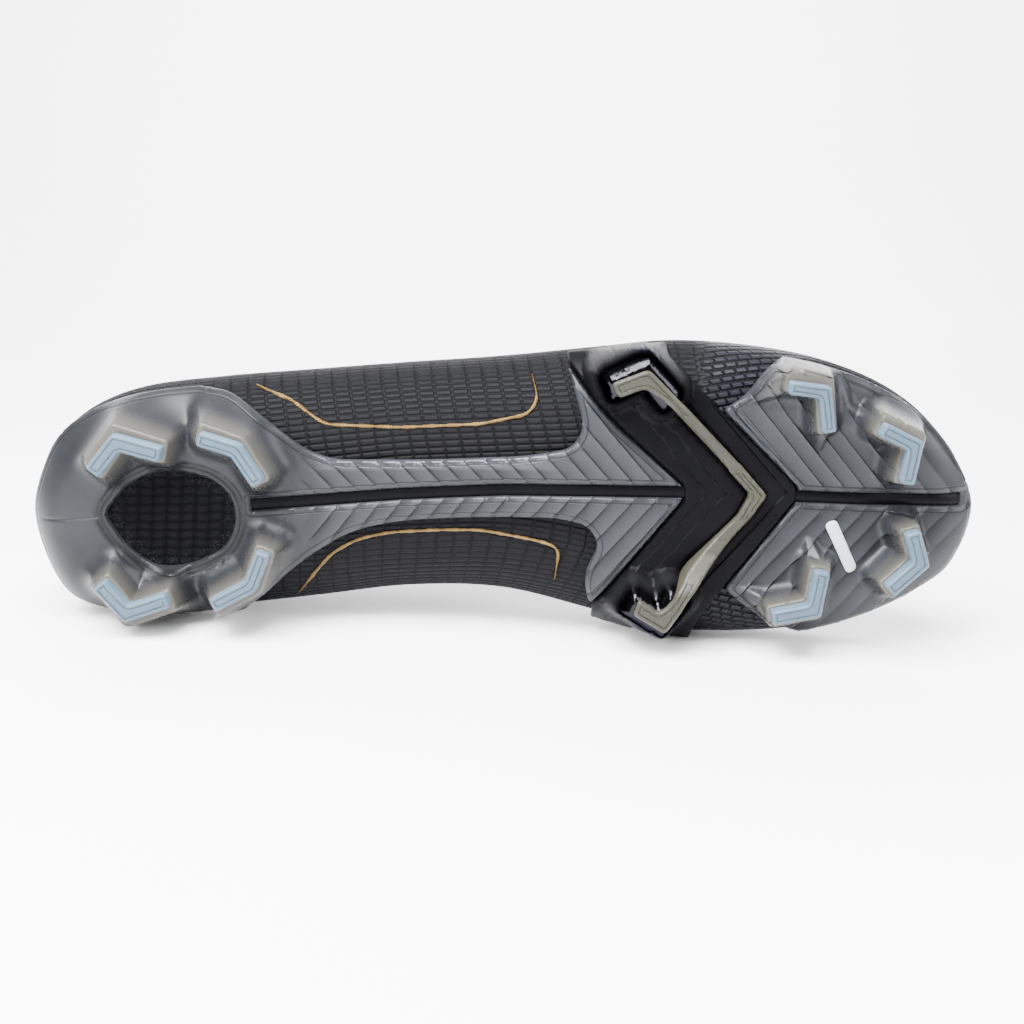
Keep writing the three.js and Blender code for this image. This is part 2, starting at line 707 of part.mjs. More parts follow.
function aglet(tail) {
  const end = tail[tail.length - 1];
  const away = end.clone().sub(tail[tail.length - 2]).normalize();
  const shape = new THREE.CylinderGeometry(AGLET_RADIUS, AGLET_RADIUS, AGLET_LENGTH, 10);
  const turn = new THREE.Quaternion().setFromUnitVectors(new THREE.Vector3(0, 1, 0), away);
  const centre = end.clone().addScaledVector(away, GAP + AGLET_LENGTH / 2);
  return shape.applyQuaternion(turn).translate(centre.x, centre.y, centre.z);
}

// Padded collar: a soft roll that sits on the topline from one throat corner round the heel.
function collar() {
  const places = [
    ...range(0, 6.9, 18).reverse().map((s) => [1, s]),
    ...range(0, 6.9, 18).slice(1).map((s) => [0, s]),
  ];
  const path = places.map(([side, s]) => {
    const base = surface(side, s, 1);
    base.z += 4;
    return base;
  });
  return cord(path, 3, 44, 8);
}

// Tongue rows: x, height, half width, droop at the sides.
const TONGUE = [
  [201, 46.2, 15, 3.5], [188, 49.2, 17, 4.5], [174, 53.8, 18, 6], [158, 60.3, 18.5, 7.5],
  [142, 68.1, 18.5, 8], [126, 75.2, 15.5, 6], [114.6, 80.2, 12.2, 4],
];
const TONGUE_TOP = [
  [114.2, 80.5, 12.1, 4], [106, 85.6, 12, 3.8], [97, 91.2, 12.2, 3.6], [89, 96.6, 11.6, 3.2],
  [84.5, 99.8, 9.4, 2.4],
];
const TONGUE_THICKNESS = 2.4;
function tongueSolid(rows) {
  const across = range(-1, 1, 8);
  const width = across.length;
  const points = [];
  for (const drop of [0, TONGUE_THICKNESS]) {
    for (const [x, z, half, droop] of rows) {
      for (const a of across) {
        const y = centreAt(x * SX) + a * half * SY;
        const lean = 1 - 0.25 * a * a;
        const top = z * SZ + SOLE_LIFT - droop * a * a;
        points.push([x * SX - drop * 0.42, y, top - drop * 0.9 * lean]);
      }
    }
  }
  const count = rows.length * width;
  const faces = [];
  for (let r = 0; r < rows.length - 1; r += 1) {
    for (let i = 0; i < width - 1; i += 1) {
      const a = r * width + i;
      const quad = [a, a + 1, a + 1 + width, a + width];
      faces.push([quad[0], quad[1], quad[2]], [quad[0], quad[2], quad[3]]);
      const low = quad.map((q) => q + count);
      faces.push([low[0], low[2], low[1]], [low[0], low[3], low[2]]);
    }
  }
  const rim = [];
  for (let i = 0; i < width; i += 1) rim.push(i);
  for (let r = 1; r < rows.length; r += 1) rim.push(r * width + width - 1);
  for (let i = width - 2; i >= 0; i -= 1) rim.push((rows.length - 1) * width + i);
  for (let r = rows.length - 2; r > 0; r -= 1) rim.push(r * width);
  rim.forEach((a, k) => {
    const b = rim[(k + 1) % rim.length];
    faces.push([a, a + count, b + count], [a, b + count, b]);
  });
  return solidOf(meshFrom(points, faces));
}

// ---------- assembly ----------
const shoe = new THREE.Group();
function addPiece(name, piece, material) {
  const solid = piece.isBufferGeometry ? solidOf(piece) : piece;
  const mesh = new THREE.Mesh(geometryOf(solid), material);
  mesh.name = name;
  shoe.add(mesh);
}

addPiece('knit_upper', knit, KNIT_BLACK);
const CORE = KNIT + GAP;
addPiece('heel_counter', sheet(aroundHeel(5.1), [-0.5, -0.25, 0, 0.15, 0.33, 0.52], -CORE, -CORE - COUNTER), BOARD_GREY);
addPiece('toe_puff', sheet(aroundToe(12.8), [-0.5, -0.25, 0, 0.15, 0.33], -CORE, -CORE - COUNTER), BOARD_GREY);
const LINED = CORE + COUNTER + GAP;
addPiece('lining', sheet(aroundHeel(7.3), [-0.5, -0.25, 0, 0.15, 0.33, 0.52, 0.7, 0.86], -LINED, -LINED - LINING), LINING_BLACK);
addPiece('strobel_board', inside(CORE, BOARD, -0.9), BOARD_GREY);
addPiece('insole', inside(CORE + BOARD + GAP, INSOLE, -0.82), LINING_BLACK);
addPiece('collar_roll', collar(), KNIT_BLACK);
addPiece('tongue', tongueSolid(TONGUE), KNIT_BLACK);
addPiece('tongue_top', tongueSolid(TONGUE_TOP), KNIT_BLACK);
addPiece('eyestay_lateral', eyestays[0], LINING_BLACK);
addPiece('eyestay_medial', eyestays[1], LINING_BLACK);
addPiece('lace', cord(lacePath, LACE_RADIUS, 230), LINING_BLACK);
addPiece('aglet_a', aglet(tails[0]), GLOSS_BLACK);
addPiece('aglet_b', aglet(tails[1]), GLOSS_BLACK);
addPiece('rear_plate', rearPlate, PLATE_GREY);
addPiece('front_plate', frontPlate, PLATE_GREY);
addPiece('spine_plate', spinePlate, GLOSS_BLACK);
addPiece('traction_chevron', chevron(0), CHEVRON_OLIVE);
for (const name of studNames) {
  const [a, b, c, wider] = STUDS[name];
  addPiece(name, studTip([a, b, c], wider), TIP_BLUE);
}
addPiece('gold_line_lateral', onKnit(GOLD_LATERAL, 0.6, TRIM), GOLD);
addPiece('gold_line_medial', onKnit(GOLD_MEDIAL, 0.6, TRIM), GOLD);

const badgeSkin = lowerForm(GAP + PLATE + GAP + 0.7, 1).subtract(lowerForm(GAP + PLATE + GAP, 40));
addPiece('blank_badge', prism(plan(BADGE), -5, 60).intersect(badgeSkin), WHITE);

// Origin at the centre of the footprint, on the ground.
const box = new THREE.Box3().setFromObject(shoe);
const middle = box.getCenter(new THREE.Vector3());
shoe.position.set(-middle.x, -middle.y, -box.min.z);

export default shoe;
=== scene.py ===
"""Looks of a firm-ground soccer cleat, right shoe, standing on its stud tips.

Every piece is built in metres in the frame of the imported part: +X to the toe, +Y to the medial
side, +Z up. Pattern sizes are written in millimetres.
"""

import math

import bpy
import numpy as np
from bpy.props import FloatProperty, FloatVectorProperty, PointerProperty
from bpy.types import Operator, Panel, PropertyGroup
from mathutils import Matrix, Vector
from mathutils.geometry import delaunay_2d_cdt


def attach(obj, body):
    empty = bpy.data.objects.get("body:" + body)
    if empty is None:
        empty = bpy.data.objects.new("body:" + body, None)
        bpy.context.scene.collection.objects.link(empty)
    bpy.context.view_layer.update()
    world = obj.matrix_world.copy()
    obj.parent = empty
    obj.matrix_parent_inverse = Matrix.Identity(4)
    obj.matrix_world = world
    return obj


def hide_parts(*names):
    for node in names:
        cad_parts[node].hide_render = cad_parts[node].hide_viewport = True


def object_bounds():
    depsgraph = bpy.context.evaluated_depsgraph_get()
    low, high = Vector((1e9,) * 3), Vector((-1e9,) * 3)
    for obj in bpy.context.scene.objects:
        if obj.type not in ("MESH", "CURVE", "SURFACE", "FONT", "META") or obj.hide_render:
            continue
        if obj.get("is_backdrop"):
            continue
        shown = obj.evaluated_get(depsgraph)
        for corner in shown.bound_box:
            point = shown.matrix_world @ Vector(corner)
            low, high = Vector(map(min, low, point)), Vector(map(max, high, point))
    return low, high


bl_info = {
    "name": "Soccer cleat looks",
    "version": (1, 0, 0),
    "blender": (4, 5, 0),
    "location": "3D View > Sidebar > Cleat",
    "description": "Builds the visible surface of a soccer cleat round its packed frame",
    "category": "Object",
}

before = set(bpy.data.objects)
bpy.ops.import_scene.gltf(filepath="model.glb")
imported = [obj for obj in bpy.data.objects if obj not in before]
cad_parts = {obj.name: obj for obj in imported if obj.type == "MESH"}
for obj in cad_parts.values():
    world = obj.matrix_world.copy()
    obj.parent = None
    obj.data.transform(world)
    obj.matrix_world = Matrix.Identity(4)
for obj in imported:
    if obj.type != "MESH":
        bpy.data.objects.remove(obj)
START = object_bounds()

MM = 0.001
UV_PER_MM = 0.01
SHIFT = np.array([-142.5, 1.816, 0.0])  # pattern to frame, in millimetres

# ---------------------------------------------------------------- pattern, in millimetres
GAP = 0.3
KNIT = 1.6
LINING = 1.0
COUNTER = 1.2
BOARD = 1.3
INSOLE = 3.2
PLATE = 2.2
EDGE_INSET = 2.4
GROOVE = 3.6
TIP = 3.5
TIP_HALF_WIDTH = 2.1
BALL_BODY_END = 1.2
BODY_LEDGE = 0.8  # body beyond its tip
EYESTAY = 1.1
LACE_RADIUS = 1.2
HOLE_RADIUS = 2.3
HOLE_ROWS = 6
UNDER_KNIT = KNIT + LACE_RADIUS + 0.8
V_SLOPE = 0.87  # how far a V of the sole falls back from the toe per mm to its side
BRIDGE_MIDDLE = -4.1  # y of the black bridge's own V
LAST = 16  # number of the last station and of the last edge point
TABLE_SIZE = 1601
CAMERA_SPOT = np.array([144.4, -100.04, -395.57])
CAMERA_TILT = math.radians(14)

# x, lateral y, medial y of the widest line; underside height; how far in and up it rounds
STATIONS = np.array([
    [0, 3, 3, 15.5, 14, 17.5], [3.5, -10, 20.5, 15.5, 14.5, 17.5], [9, -20, 30, 15.5, 16, 17.5],
    [18, -27, 34.5, 15.5, 18, 17.5], [32, -32.3, 36.3, 15.5, 18, 17.5],
    [56, -35.4, 36, 15.8, 19, 18], [84, -37.2, 34, 17, 22, 20], [112, -38.9, 31.6, 18, 25, 22],
    [141, -41, 32, 17.8, 25, 21], [170, -44.5, 37.9, 15.6, 22, 18],
    [192, -46.8, 43, 14.8, 19, 16.5], [214, -45.6, 43.8, 14.8, 17, 16],
    [235, -41.8, 42.2, 15.8, 16, 15.5], [255, -34.3, 36.5, 17.2, 15, 15.3],
    [269, -24.7, 30, 18.8, 15, 14.8], [279, -12.5, 22, 20.2, 14, 14.2],
    [285, 3, 3, 20.6, 13, 14.2],
])
# x, half width, height, rise of the wall, reach and drop of its upper handle
EDGE = np.array([
    [12, 0, 72, 16, 0.1, 14], [13, 8, 72, 16, 0.1, 14], [16.5, 15, 71, 16, 0.1, 14],
    [23, 20.5, 68, 15, 0.1, 13], [34, 24, 64, 13, 0.1, 11], [53, 25, 61, 12, 0.12, 10],
    [75, 22, 66, 13, 0.18, 12], [97, 16, 79, 14, 0.26, 13], [118, 12, 85, 14, 0.34, 10],
    [142, 11, 75, 13, 0.38, 7], [160, 10.3, 66.5, 12, 0.42, 5], [174, 9.3, 60.5, 11, 0.46, 3.5],
    [183, 7.5, 57, 10.5, 0.5, 2.5], [187.5, 5.2, 55.5, 10, 0.52, 2],
    [189.8, 3.2, 54.8, 10, 0.54, 1.8], [190.8, 1.5, 54.5, 10.5, 0.55, 1.6],
    [191, 0, 54.4, 11, 0.55, 1.5],
])
CENTRE_LINE = np.array([
    [0, 3], [18, 3], [60, 0.5], [110, -3], [150, -4], [190, -2], [240, 1], [266, 3], [285, 3],
])
# the underside's height along the centre line
BELLY = np.array([
    [0, 15.5], [40, 15.5], [56, 15.8], [84, 17], [112, 18], [141, 17.8], [170, 15.6],
    [192, 14.8], [214, 14.8], [233, 15.8], [249, 17.2], [258, 18.8], [266, 20], [272, 20.6],
    [285, 21],
])

# outlines: x, y, corner radius
REAR_PLATE = [
    (-20, -60, 1), (36, -60, 1), (40, -33.4, 6), (52, -32.6, 9), (61.5, -31.6, 9),
    (68.5, -27.4, 9), (75, -22.8, 9), (83, -16.6, 9), (91.5, -13.2, 9), (120, -13, 9),
    (149, -14.2, 8), (162, -16.8, 6),
    (165.5, -22.6, 5), (164, -29.5, 6), (161, -39.2, 1.6), (169.8, -28.4, 8), (194.6, -5.9, 1),
    (194.6, -1.7, 1), (168.3, 31.2, 1.8), (165.8, 22, 6), (170.5, 12.2, 5), (167, 6.2, 5),
    (158, 4.1, 8), (132, 4.2, 9), (111, 5.2, 9), (96, 8.2, 9), (81, 17.2, 9), (69.5, 27.2, 9),
    (60.5, 33.8, 6), (59, 60, 1), (-20, 60, 1),
]
WINDOW = [
    (23.5, 2.4, 2.5), (30, -5.8, 6), (37.6, -10, 6), (47, -10.6, 6), (56.6, -7.8, 6),
    (61.8, -1.6, 5), (62.3, 6, 5), (58.6, 13.4, 6), (48, 18.4, 6), (37.4, 19, 6), (29, 12.2, 6),
]
SPINE_REAR = [(67, 0), (82, -0.9), (111, -2.9), (142, -4.2), (170, -4.4), (196, -4.2)]
SPINE_FRONT = [(222, -3.4), (230, -2.7), (252, -1.4), (278.4, 0)]
V_PLATE = [
    (161.6, -39.8, 1), (157.5, -60, 1), (190, -60, 1), (190, -43.2, 2), (202.6, -31.2, 6),
    (226.6, -7.6, 2), (228.2, -5.3, 0.6), (228.2, -1.9, 0.6), (204, 29.8, 4), (199.5, 37, 5),
    (199, 60, 1), (170, 60, 1), (169, 31.4, 1), (195.3, -1.6, 0.6), (195.3, -6, 0.6),
    (170.2, -29, 3),
]
FRONT_PLATE = [
    (206, -28.6, 1.4), (212.3, -32.6, 4), (217.4, -38.4, 4), (222.5, -41.4, 4), (233, -44.5, 3),
    (240, -60, 1), (310, -60, 1), (310, 60, 1), (242, 60, 1), (238, 42.5, 4), (229, 38.8, 5),
    (220.8, 35, 5), (213.4, 30, 4), (208.2, 25.6, 1.4), (228.9, -1.6, 0.8), (228.9, -5.5, 0.8),
]
CHEVRON = [
    (172.4, -38.4, 1), (182.9, -42.4, 1.6), (189.6, -35.6, 2), (210.2, -13.8, 1),
    (211.4, -12.8, 1), (219.2, -3.8, 1), (213.8, 4.2, 1), (212.2, 5.8, 1), (203.4, 15.8, 6),
    (195.6, 25.8, 3), (194.2, 28.6, 2), (189.4, 35.8, 1.6), (179.8, 29.8, 1), (181.4, 25.2, 1),
    (187.4, 29.4, 2), (190.8, 26.2, 3), (193.8, 21.2, 4), (196.4, 17, 5), (209.6, 3.6, 1),
    (210.8, 2.2, 1), (214.2, -4.1, 1.5),
    (208.5, -10.3, 1), (207.6, -11.7, 1), (187.6, -33.4, 3), (182, -37, 2), (174.6, -34.2, 1),
]
# y and height of the chevron's face above the ground
CHEVRON_FACE = np.array([
    [-60, 0], [-31.5, 0], [-30.2, 0.6], [-20.5, 7], [-16.5, 8.8], [-13, 9.2], [5, 9.2], [9.5, 8.8],
    [13.5, 7], [22.8, 0.6], [24, 0], [60, 0],
])
SCOOP = [(241, -37, 2), (255.6, -31.8, 2), (254.6, -29.6, 1.5), (246, -26.6, 2), (242.4, -28.2, 2)]
BADGE = [(237, 5.4, 1.7), (240.4, 4, 1.7), (247.8, 19.4, 1.7), (244.8, 21, 1.7)]

# each stud: its tip as a bent bar, how much wider than usual, the flare of its body, and its
# fins, each with the end of the bar that it starts from and its far point
STUDS = {
    "tip_heel_lateral_rear": ([(25.9, -14.4), (31.8, -21.4), (42.4, -18.4)], 0.2, 8.5, []),
    "tip_heel_lateral_front": ([(57, -22), (65.8, -19.2), (70.8, -11)], 0, 8.5, []),
    "tip_heel_medial_rear": ([(25.4, 22.2), (31.5, 29.6), (41.8, 26.1)], 0.2, 8, [(0, (27, 15.5))]),
    "tip_heel_medial_front": ([(58.5, 26.2), (68.2, 21.2), (71.6, 12.9)], 0, 8, [(2, (74, 6.4))]),
    "tip_front_lateral_rear": (
        [(224.2, -36.9), (232.6, -35.8), (234.2, -26)], -0.2, 4.6,
        [(0, (210.5, -30.2)), (2, (233.8, -15.5))],
    ),
    "tip_front_lateral_front": (
        [(251, -24.4), (259, -20.4), (257.6, -11.2)], 0, 4.4, [(0, (245, -27)), (2, (256.4, -6))],
    ),
    "tip_front_medial_front": (
        [(260.6, 6.8), (263, 14.4), (255.8, 21.3)], 0.1, 4.4, [(2, (250, 23.5))],
    ),
    "tip_front_medial_rear": (
        [(222.6, 30.6), (232.8, 28.6), (234.4, 18.8)], 0.1, 4.8,
        [(0, (211.5, 24.6)), (2, (232.4, 8.6))],
    ),
}
BALL_STUDS = [
    [(174.6, -36.4), (182.6, -39.6), (187.6, -34.4)],
    [(181.4, 27.8), (188.4, 32.2), (191.6, 27.6)],
]
GOLD_LATERAL = [
    (68, -34), (78.4, -30.6), (89, -23.4), (111.4, -22.4), (134.9, -23.4), (149, -26.4),
    (152.1, -30.6), (150.4, -37.4),
]
GOLD_MEDIAL = [
    (78.6, 30), (85, 21.6), (90.2, 15.6), (98, 11.3), (107.5, 9.3), (122.7, 8.6), (134.8, 8.6),
    (152.6, 11.8), (158.6, 13.8), (157.4, 24.4),
]
# x, height, half width and droop of the edges
TONGUE = [
    (201, 45.8, 15, 3.5), (188, 48.8, 17, 4.5), (174, 53.4, 18, 6), (158, 59.9, 18.5, 7.5),
    (142, 67.7, 18.5, 8), (126, 74.8, 15.5, 6), (114.6, 79.8, 12.2, 4),
]
TONGUE_TOP = [
    (114.2, 80.1, 11, 3.3), (106, 85.2, 11.4, 3.4), (97, 90.8, 12.2, 3.6), (89, 96.2, 11.6, 3.2),
    (84.5, 99.4, 9.4, 2.4),
]


# ---------------------------------------------------------------- sizes and colours to set
class CleatSettings(PropertyGroup):
    """Sizes in millimetres and base colours of the cleat"""

    rib_pitch: FloatProperty(name="Rib pitch", default=6.3, description="Along the sole, in mm")
    rib_height: FloatProperty(name="Rib height", default=0.75, description="Step of a rib, in mm")
    knit_step: FloatProperty(
        name="Knit mesh step", default=1.35, description="Between points round the knit, in mm"
    )
    plate_step: FloatProperty(
        name="Plate mesh step", default=1.0, description="Between points on the plates, in mm"
    )
    plate_colour: FloatVectorProperty(
        name="Plate", subtype="COLOR", size=3, default=(0.0102, 0.011, 0.0127),
        description="Grey moulding of the rear and front plates",
    )
    milky_colour: FloatVectorProperty(
        name="Stud halo", subtype="COLOR", size=3, default=(0.04, 0.038, 0.033),
        description="Milky part of the stud bodies",
    )
    tip_colour: FloatVectorProperty(
        name="Stud tip", subtype="COLOR", size=3, default=(0.038, 0.06, 0.081),
        description="Pale blue ends of the studs",
    )
    knit_colour: FloatVectorProperty(
        name="Knit", subtype="COLOR", size=3, default=(0.0014, 0.0014, 0.0019),
        description="Yarn of the upper",
    )
    olive_colour: FloatVectorProperty(
        name="Chevron", subtype="COLOR", size=3, default=(0.0175, 0.017, 0.0122),
        description="Olive chevron under the ball of the foot",
    )
    gold_colour: FloatVectorProperty(
        name="Gold thread", subtype="COLOR", size=3, default=(0.08, 0.044, 0.006),
        description="Thread laid on both sides of the upper",
    )


def settings():
    return bpy.context.scene.cleat


# ---------------------------------------------------------------- curves and surfaces
def spline(points, t, uniform=False, ends=None):
    """Catmull-Rom curve through points at t from 0 to 1, centripetal unless uniform. ends are the
    points before the first and after the last one."""
    pts = np.asarray(points, float)
    last = len(pts) - 1
    place = np.clip(np.asarray(t, float), 0, 1) * last
    k = np.minimum(place.astype(int), last - 1)
    w = (place - k)[:, None]
    before, after = ends if ends is not None else (2 * pts[0] - pts[1], 2 * pts[-1] - pts[-2])
    ext = np.vstack([before, pts, after])
    p0, p1, p2, p3 = (ext[k + i] for i in range(4))
    if uniform:
        t1 = 0.5 * (p2 - p0)
        t2 = 0.5 * (p3 - p1)
    else:
        d0, d1, d2 = (
            np.maximum(((a - b) ** 2).sum(1) ** 0.25, 1e-9)[:, None]
            for a, b in ((p0, p1), (p1, p2), (p2, p3))
        )
        t1 = ((p1 - p0) / d0 - (p2 - p0) / (d0 + d1) + (p2 - p1) / d1) * d1
        t2 = ((p2 - p1) / d1 - (p3 - p1) / (d1 + d2) + (p3 - p2) / d2) * d1
    c2 = -3 * p1 + 3 * p2 - 2 * t1 - t2
    c3 = 2 * p1 - 2 * p2 + t1 + t2
    return p1 + w * (t1 + w * (c2 + w * c3))


def centre_at(x):
    """Sideways place of the upper's centre line."""
    xs, ys = CENTRE_LINE.T
    k = np.clip(np.searchsorted(xs, x, side="right") - 1, 0, len(xs) - 2)
    t = np.clip((x - xs[k]) / (xs[k + 1] - xs[k]), 0, 1)
    return ys[k] + (ys[k + 1] - ys[k]) * t * t * (3 - 2 * t)


T_TABLE = np.linspace(0, 1, TABLE_SIZE)
S_TABLE = T_TABLE * LAST


def side_curves(lateral, medial):
    """The two sides' curves, which run into each other smoothly at heel and toe."""
    return [
        spline(own, T_TABLE, ends=(other[1], other[-2]))
        for own, other in ((lateral, medial), (medial, lateral))
    ]


WIDEST = side_curves(*(
    np.column_stack([STATIONS[:, 0], STATIONS[:, c], STATIONS[:, 3] + STATIONS[:, 5]])
    for c in (1, 2)
))
UNDERSIDE = spline(STATIONS[:, [3, 4, 5]], T_TABLE, uniform=True)
EDGES = side_curves(*(
    np.column_stack([EDGE[:, 0], centre_at(EDGE[:, 0]) + side * EDGE[:, 1], EDGE[:, 2]])
    for side in (-1, 1)
))
INWARD = []
for side in (0, 1):
    tangent = np.gradient(WIDEST[side], axis=0)
    sign = 1 if side == 0 else -1
    inward = np.column_stack([-tangent[:, 1] * sign, tangent[:, 0] * sign])
    inward /= np.linalg.norm(inward, axis=1)[:, None]
    inward[0] = (1, 0)
    inward[-1] = (-1, 0)
    INWARD.append(inward)
BELLY_TABLE = spline(BELLY, np.linspace(0, 1, 800))


def belly(x):
    """Height of the underside along its centre line."""
    return np.interp(x, BELLY_TABLE[:, 0], BELLY_TABLE[:, 1])


def look_up(table, s):
    """Rows of a table at stations s from 0 at the heel to LAST at the toe."""
    return np.column_stack([np.interp(s, S_TABLE, column) for column in table.T])


def inward_at(side, s):
    inward = look_up(INWARD[side], s)
    return inward / np.linalg.norm(inward, axis=1)[:, None]


def surface(side, s, v):
    """Points of the upper: v from -2 on the centre of the underside to 0 at the widest line to 1
    at the topline and throat edge."""
    s = np.asarray(s, float)
    v = np.broadcast_to(np.asarray(v, float), s.shape)
    wide = look_up(WIDEST[side], s)
    under = look_up(UNDERSIDE, s)
    angle = np.clip(-v, 0, 1) * (math.pi / 2)
    low = wide.copy()
    low[:, :2] += inward_at(side, s) * (under[:, 1] * (1 - np.cos(angle)))[:, None]
    low[:, 2] = under[:, 0] + under[:, 2] * (1 - np.sin(angle))
    blend = np.clip(-1 - v, 0, 1)[:, None]
    middle = np.column_stack([low[:, 0], centre_at(low[:, 0]), under[:, 0]])
    low = low * (1 - blend) + middle * blend
    edge = look_up(EDGES[side], s)
    rise, reach, drop = (np.interp(s, np.arange(LAST + 1), EDGE[:, c]) for c in (3, 4, 5))
    p1 = wide.copy()
    p1[:, 2] += rise
    p2 = edge.copy()
    p2[:, :2] += (wide[:, :2] - edge[:, :2]) * reach[:, None]
    p2[:, 2] -= drop
    t = np.clip(v, 0, 1)[:, None]
    high = wide * (1 - t) ** 3 + p1 * 3 * t * (1 - t) ** 2 + p2 * 3 * t * t * (1 - t) + edge * t**3
    return np.where((v > 0)[:, None], high, low)


def normals(side, s, v):
    """Outward unit normals of the upper."""
    s = np.asarray(s, float)
    v = np.broadcast_to(np.asarray(v, float), s.shape)
    under = look_up(UNDERSIDE, s)
    angle = np.clip(-v, 0, 1) * (math.pi / 2)
    low = np.column_stack([
        -inward_at(side, s) * (np.cos(angle) / under[:, 1])[:, None], -np.sin(angle) / under[:, 2]
    ])
    s0 = np.maximum(0.02, s - 0.04)
    s1 = np.minimum(LAST - 0.02, s + 0.04)
    along = surface(side, s1, v) - surface(side, s0, v)
    up = surface(side, s, np.minimum(1, v + 0.02)) - surface(side, s, np.maximum(1e-4, v - 0.02))
    high = np.cross(along, up) if side == 0 else np.cross(up, along)
    ends = (s <= 0.02) | (s >= LAST - 0.02)
    high[ends, 1] = 0
    n = np.where((v > 0)[:, None], high, low)
    return n / np.linalg.norm(n, axis=1)[:, None]


def offset_surface(side, s, v, distance):
    """Points at a distance out from the upper."""
    return surface(side, s, v) + normals(side, s, np.maximum(v, -1)) * distance


FOOT_WIDE = np.vstack(WIDEST)[:, :2]
FOOT_INWARD = np.vstack(INWARD)
FOOT_INSET = np.concatenate([UNDERSIDE[:, 1]] * 2)
FOOT_RISE = np.concatenate([UNDERSIDE[:, 2]] * 2)
FOOT_X = FOOT_WIDE[:, 0] + FOOT_INWARD[:, 0] * FOOT_INSET


def underside(xy):
    """Height of the upper's underside over points in plan, its normals, and their depth from the
    widest line."""
    xy = np.asarray(xy, float)
    nearest = np.empty(len(xy), int)
    for start in range(0, len(xy), 2000):
        block = xy[start:start + 2000]
        d = ((block[:, None, :] - FOOT_WIDE[None, :, :]) ** 2).sum(2)
        nearest[start:start + 2000] = d.argmin(1)
    gap = np.linalg.norm(xy - FOOT_WIDE[nearest], axis=1)
    depth = np.clip(1 - gap / FOOT_INSET[nearest], 0, 0.9995)
    bottom = np.where(depth > 0, belly(FOOT_X[nearest]), belly(xy[:, 0]))
    z = bottom + FOOT_RISE[nearest] * (1 - np.sqrt(1 - depth**2))
    flat = -FOOT_INWARD[nearest] * (depth / FOOT_INSET[nearest])[:, None]
    n = np.column_stack([flat, -np.sqrt(1 - depth**2) / FOOT_RISE[nearest]])
    n /= np.linalg.norm(n, axis=1)[:, None]
    return z, n, gap


def on_underside(xy, distance):
    """Points at a distance out from the upper's underside, over points in plan."""
    z, n, _ = underside(xy)
    return np.column_stack([xy, z]) + n * np.reshape(distance, (-1, 1))


# ---------------------------------------------------------------- plan outlines
def rounded(points, steps=6):
    """Closed outline with each corner rounded by its own radius."""
    out = []
    count = len(points)
    for i, (x, y, radius) in enumerate(points):
        here = np.array([x, y], float)
        before = np.array(points[i - 1][:2], float) - here
        after = np.array(points[(i + 1) % count][:2], float) - here
        len_b, len_a = np.linalg.norm(before), np.linalg.norm(after)
        reach = min(radius, 0.48 * len_b, 0.48 * len_a)
        a = here + before / len_b * reach
        b = here + after / len_a * reach
        for t in np.linspace(0, 1, steps):
            out.append(a * (1 - t) ** 2 + here * 2 * t * (1 - t) + b * t * t)
    return np.array(out)


def resample(line, step, closed=False):
    """The same line with points a step apart."""
    pts = np.asarray(line, float)
    if closed:
        pts = np.vstack([pts, pts[:1]])
    run = np.concatenate([[0], np.cumsum(np.linalg.norm(np.diff(pts, axis=0), axis=1))])
    count = max(2, int(round(run[-1] / step)) + 1)
    at = np.linspace(0, run[-1], count)
    out = np.column_stack([np.interp(at, run, column) for column in pts.T])
    return out[:-1] if closed else out


def segment_distance(xy, line, closed=False):
    """Distance from points to a line, and how far along it (0 to 1) the nearest place is."""
    a = np.asarray(line, float)
    b = np.roll(a, -1, axis=0)
    if not closed:
        a, b = a[:-1], b[:-1]
    ab = b - a
    long2 = np.maximum((ab**2).sum(1), 1e-12)
    best = np.full(len(xy), 1e9)
    along = np.zeros(len(xy))
    for k in range(len(a)):
        t = np.clip(((xy - a[k]) @ ab[k]) / long2[k], 0, 1)
        d = np.linalg.norm(xy - (a[k] + t[:, None] * ab[k]), axis=1)
        closer = d < best
        best = np.where(closer, d, best)
        along = np.where(closer, (k + t) / len(a), along)
    return best, along


def within(xy, outline):
    """Which points are inside a closed outline."""
    x, y = xy[:, 0], xy[:, 1]
    inside = np.zeros(len(xy), bool)
    px, py = outline[:, 0], outline[:, 1]
    qx, qy = np.roll(px, -1), np.roll(py, -1)
    for x0, y0, x1, y1 in zip(px, py, qx, qy):
        if y0 == y1:
            continue
        crosses = (y0 > y) != (y1 > y)
        inside ^= crosses & (x < (x1 - x0) * (y - y0) / (y1 - y0) + x0)
    return inside


def signed(xy, outline):
    """Distance to a closed outline, negative inside it."""
    d, _ = segment_distance(xy, outline, True)
    return np.where(within(xy, outline), -d, d)


def left_normals(loop):
    """Unit normals of a closed loop, pointing to the left of its direction."""
    step = np.roll(loop, -1, axis=0) - np.roll(loop, 1, axis=0)
    return np.column_stack([-step[:, 1], step[:, 0]]) / np.linalg.norm(step, axis=1)[:, None]


def inward_normals(loop):
    """Unit normals of a closed loop, pointing into it."""
    after = np.roll(loop, -1, axis=0)
    area = np.sum(loop[:, 0] * after[:, 1] - after[:, 0] * loop[:, 1])
    return left_normals(loop) if area > 0 else -left_normals(loop)


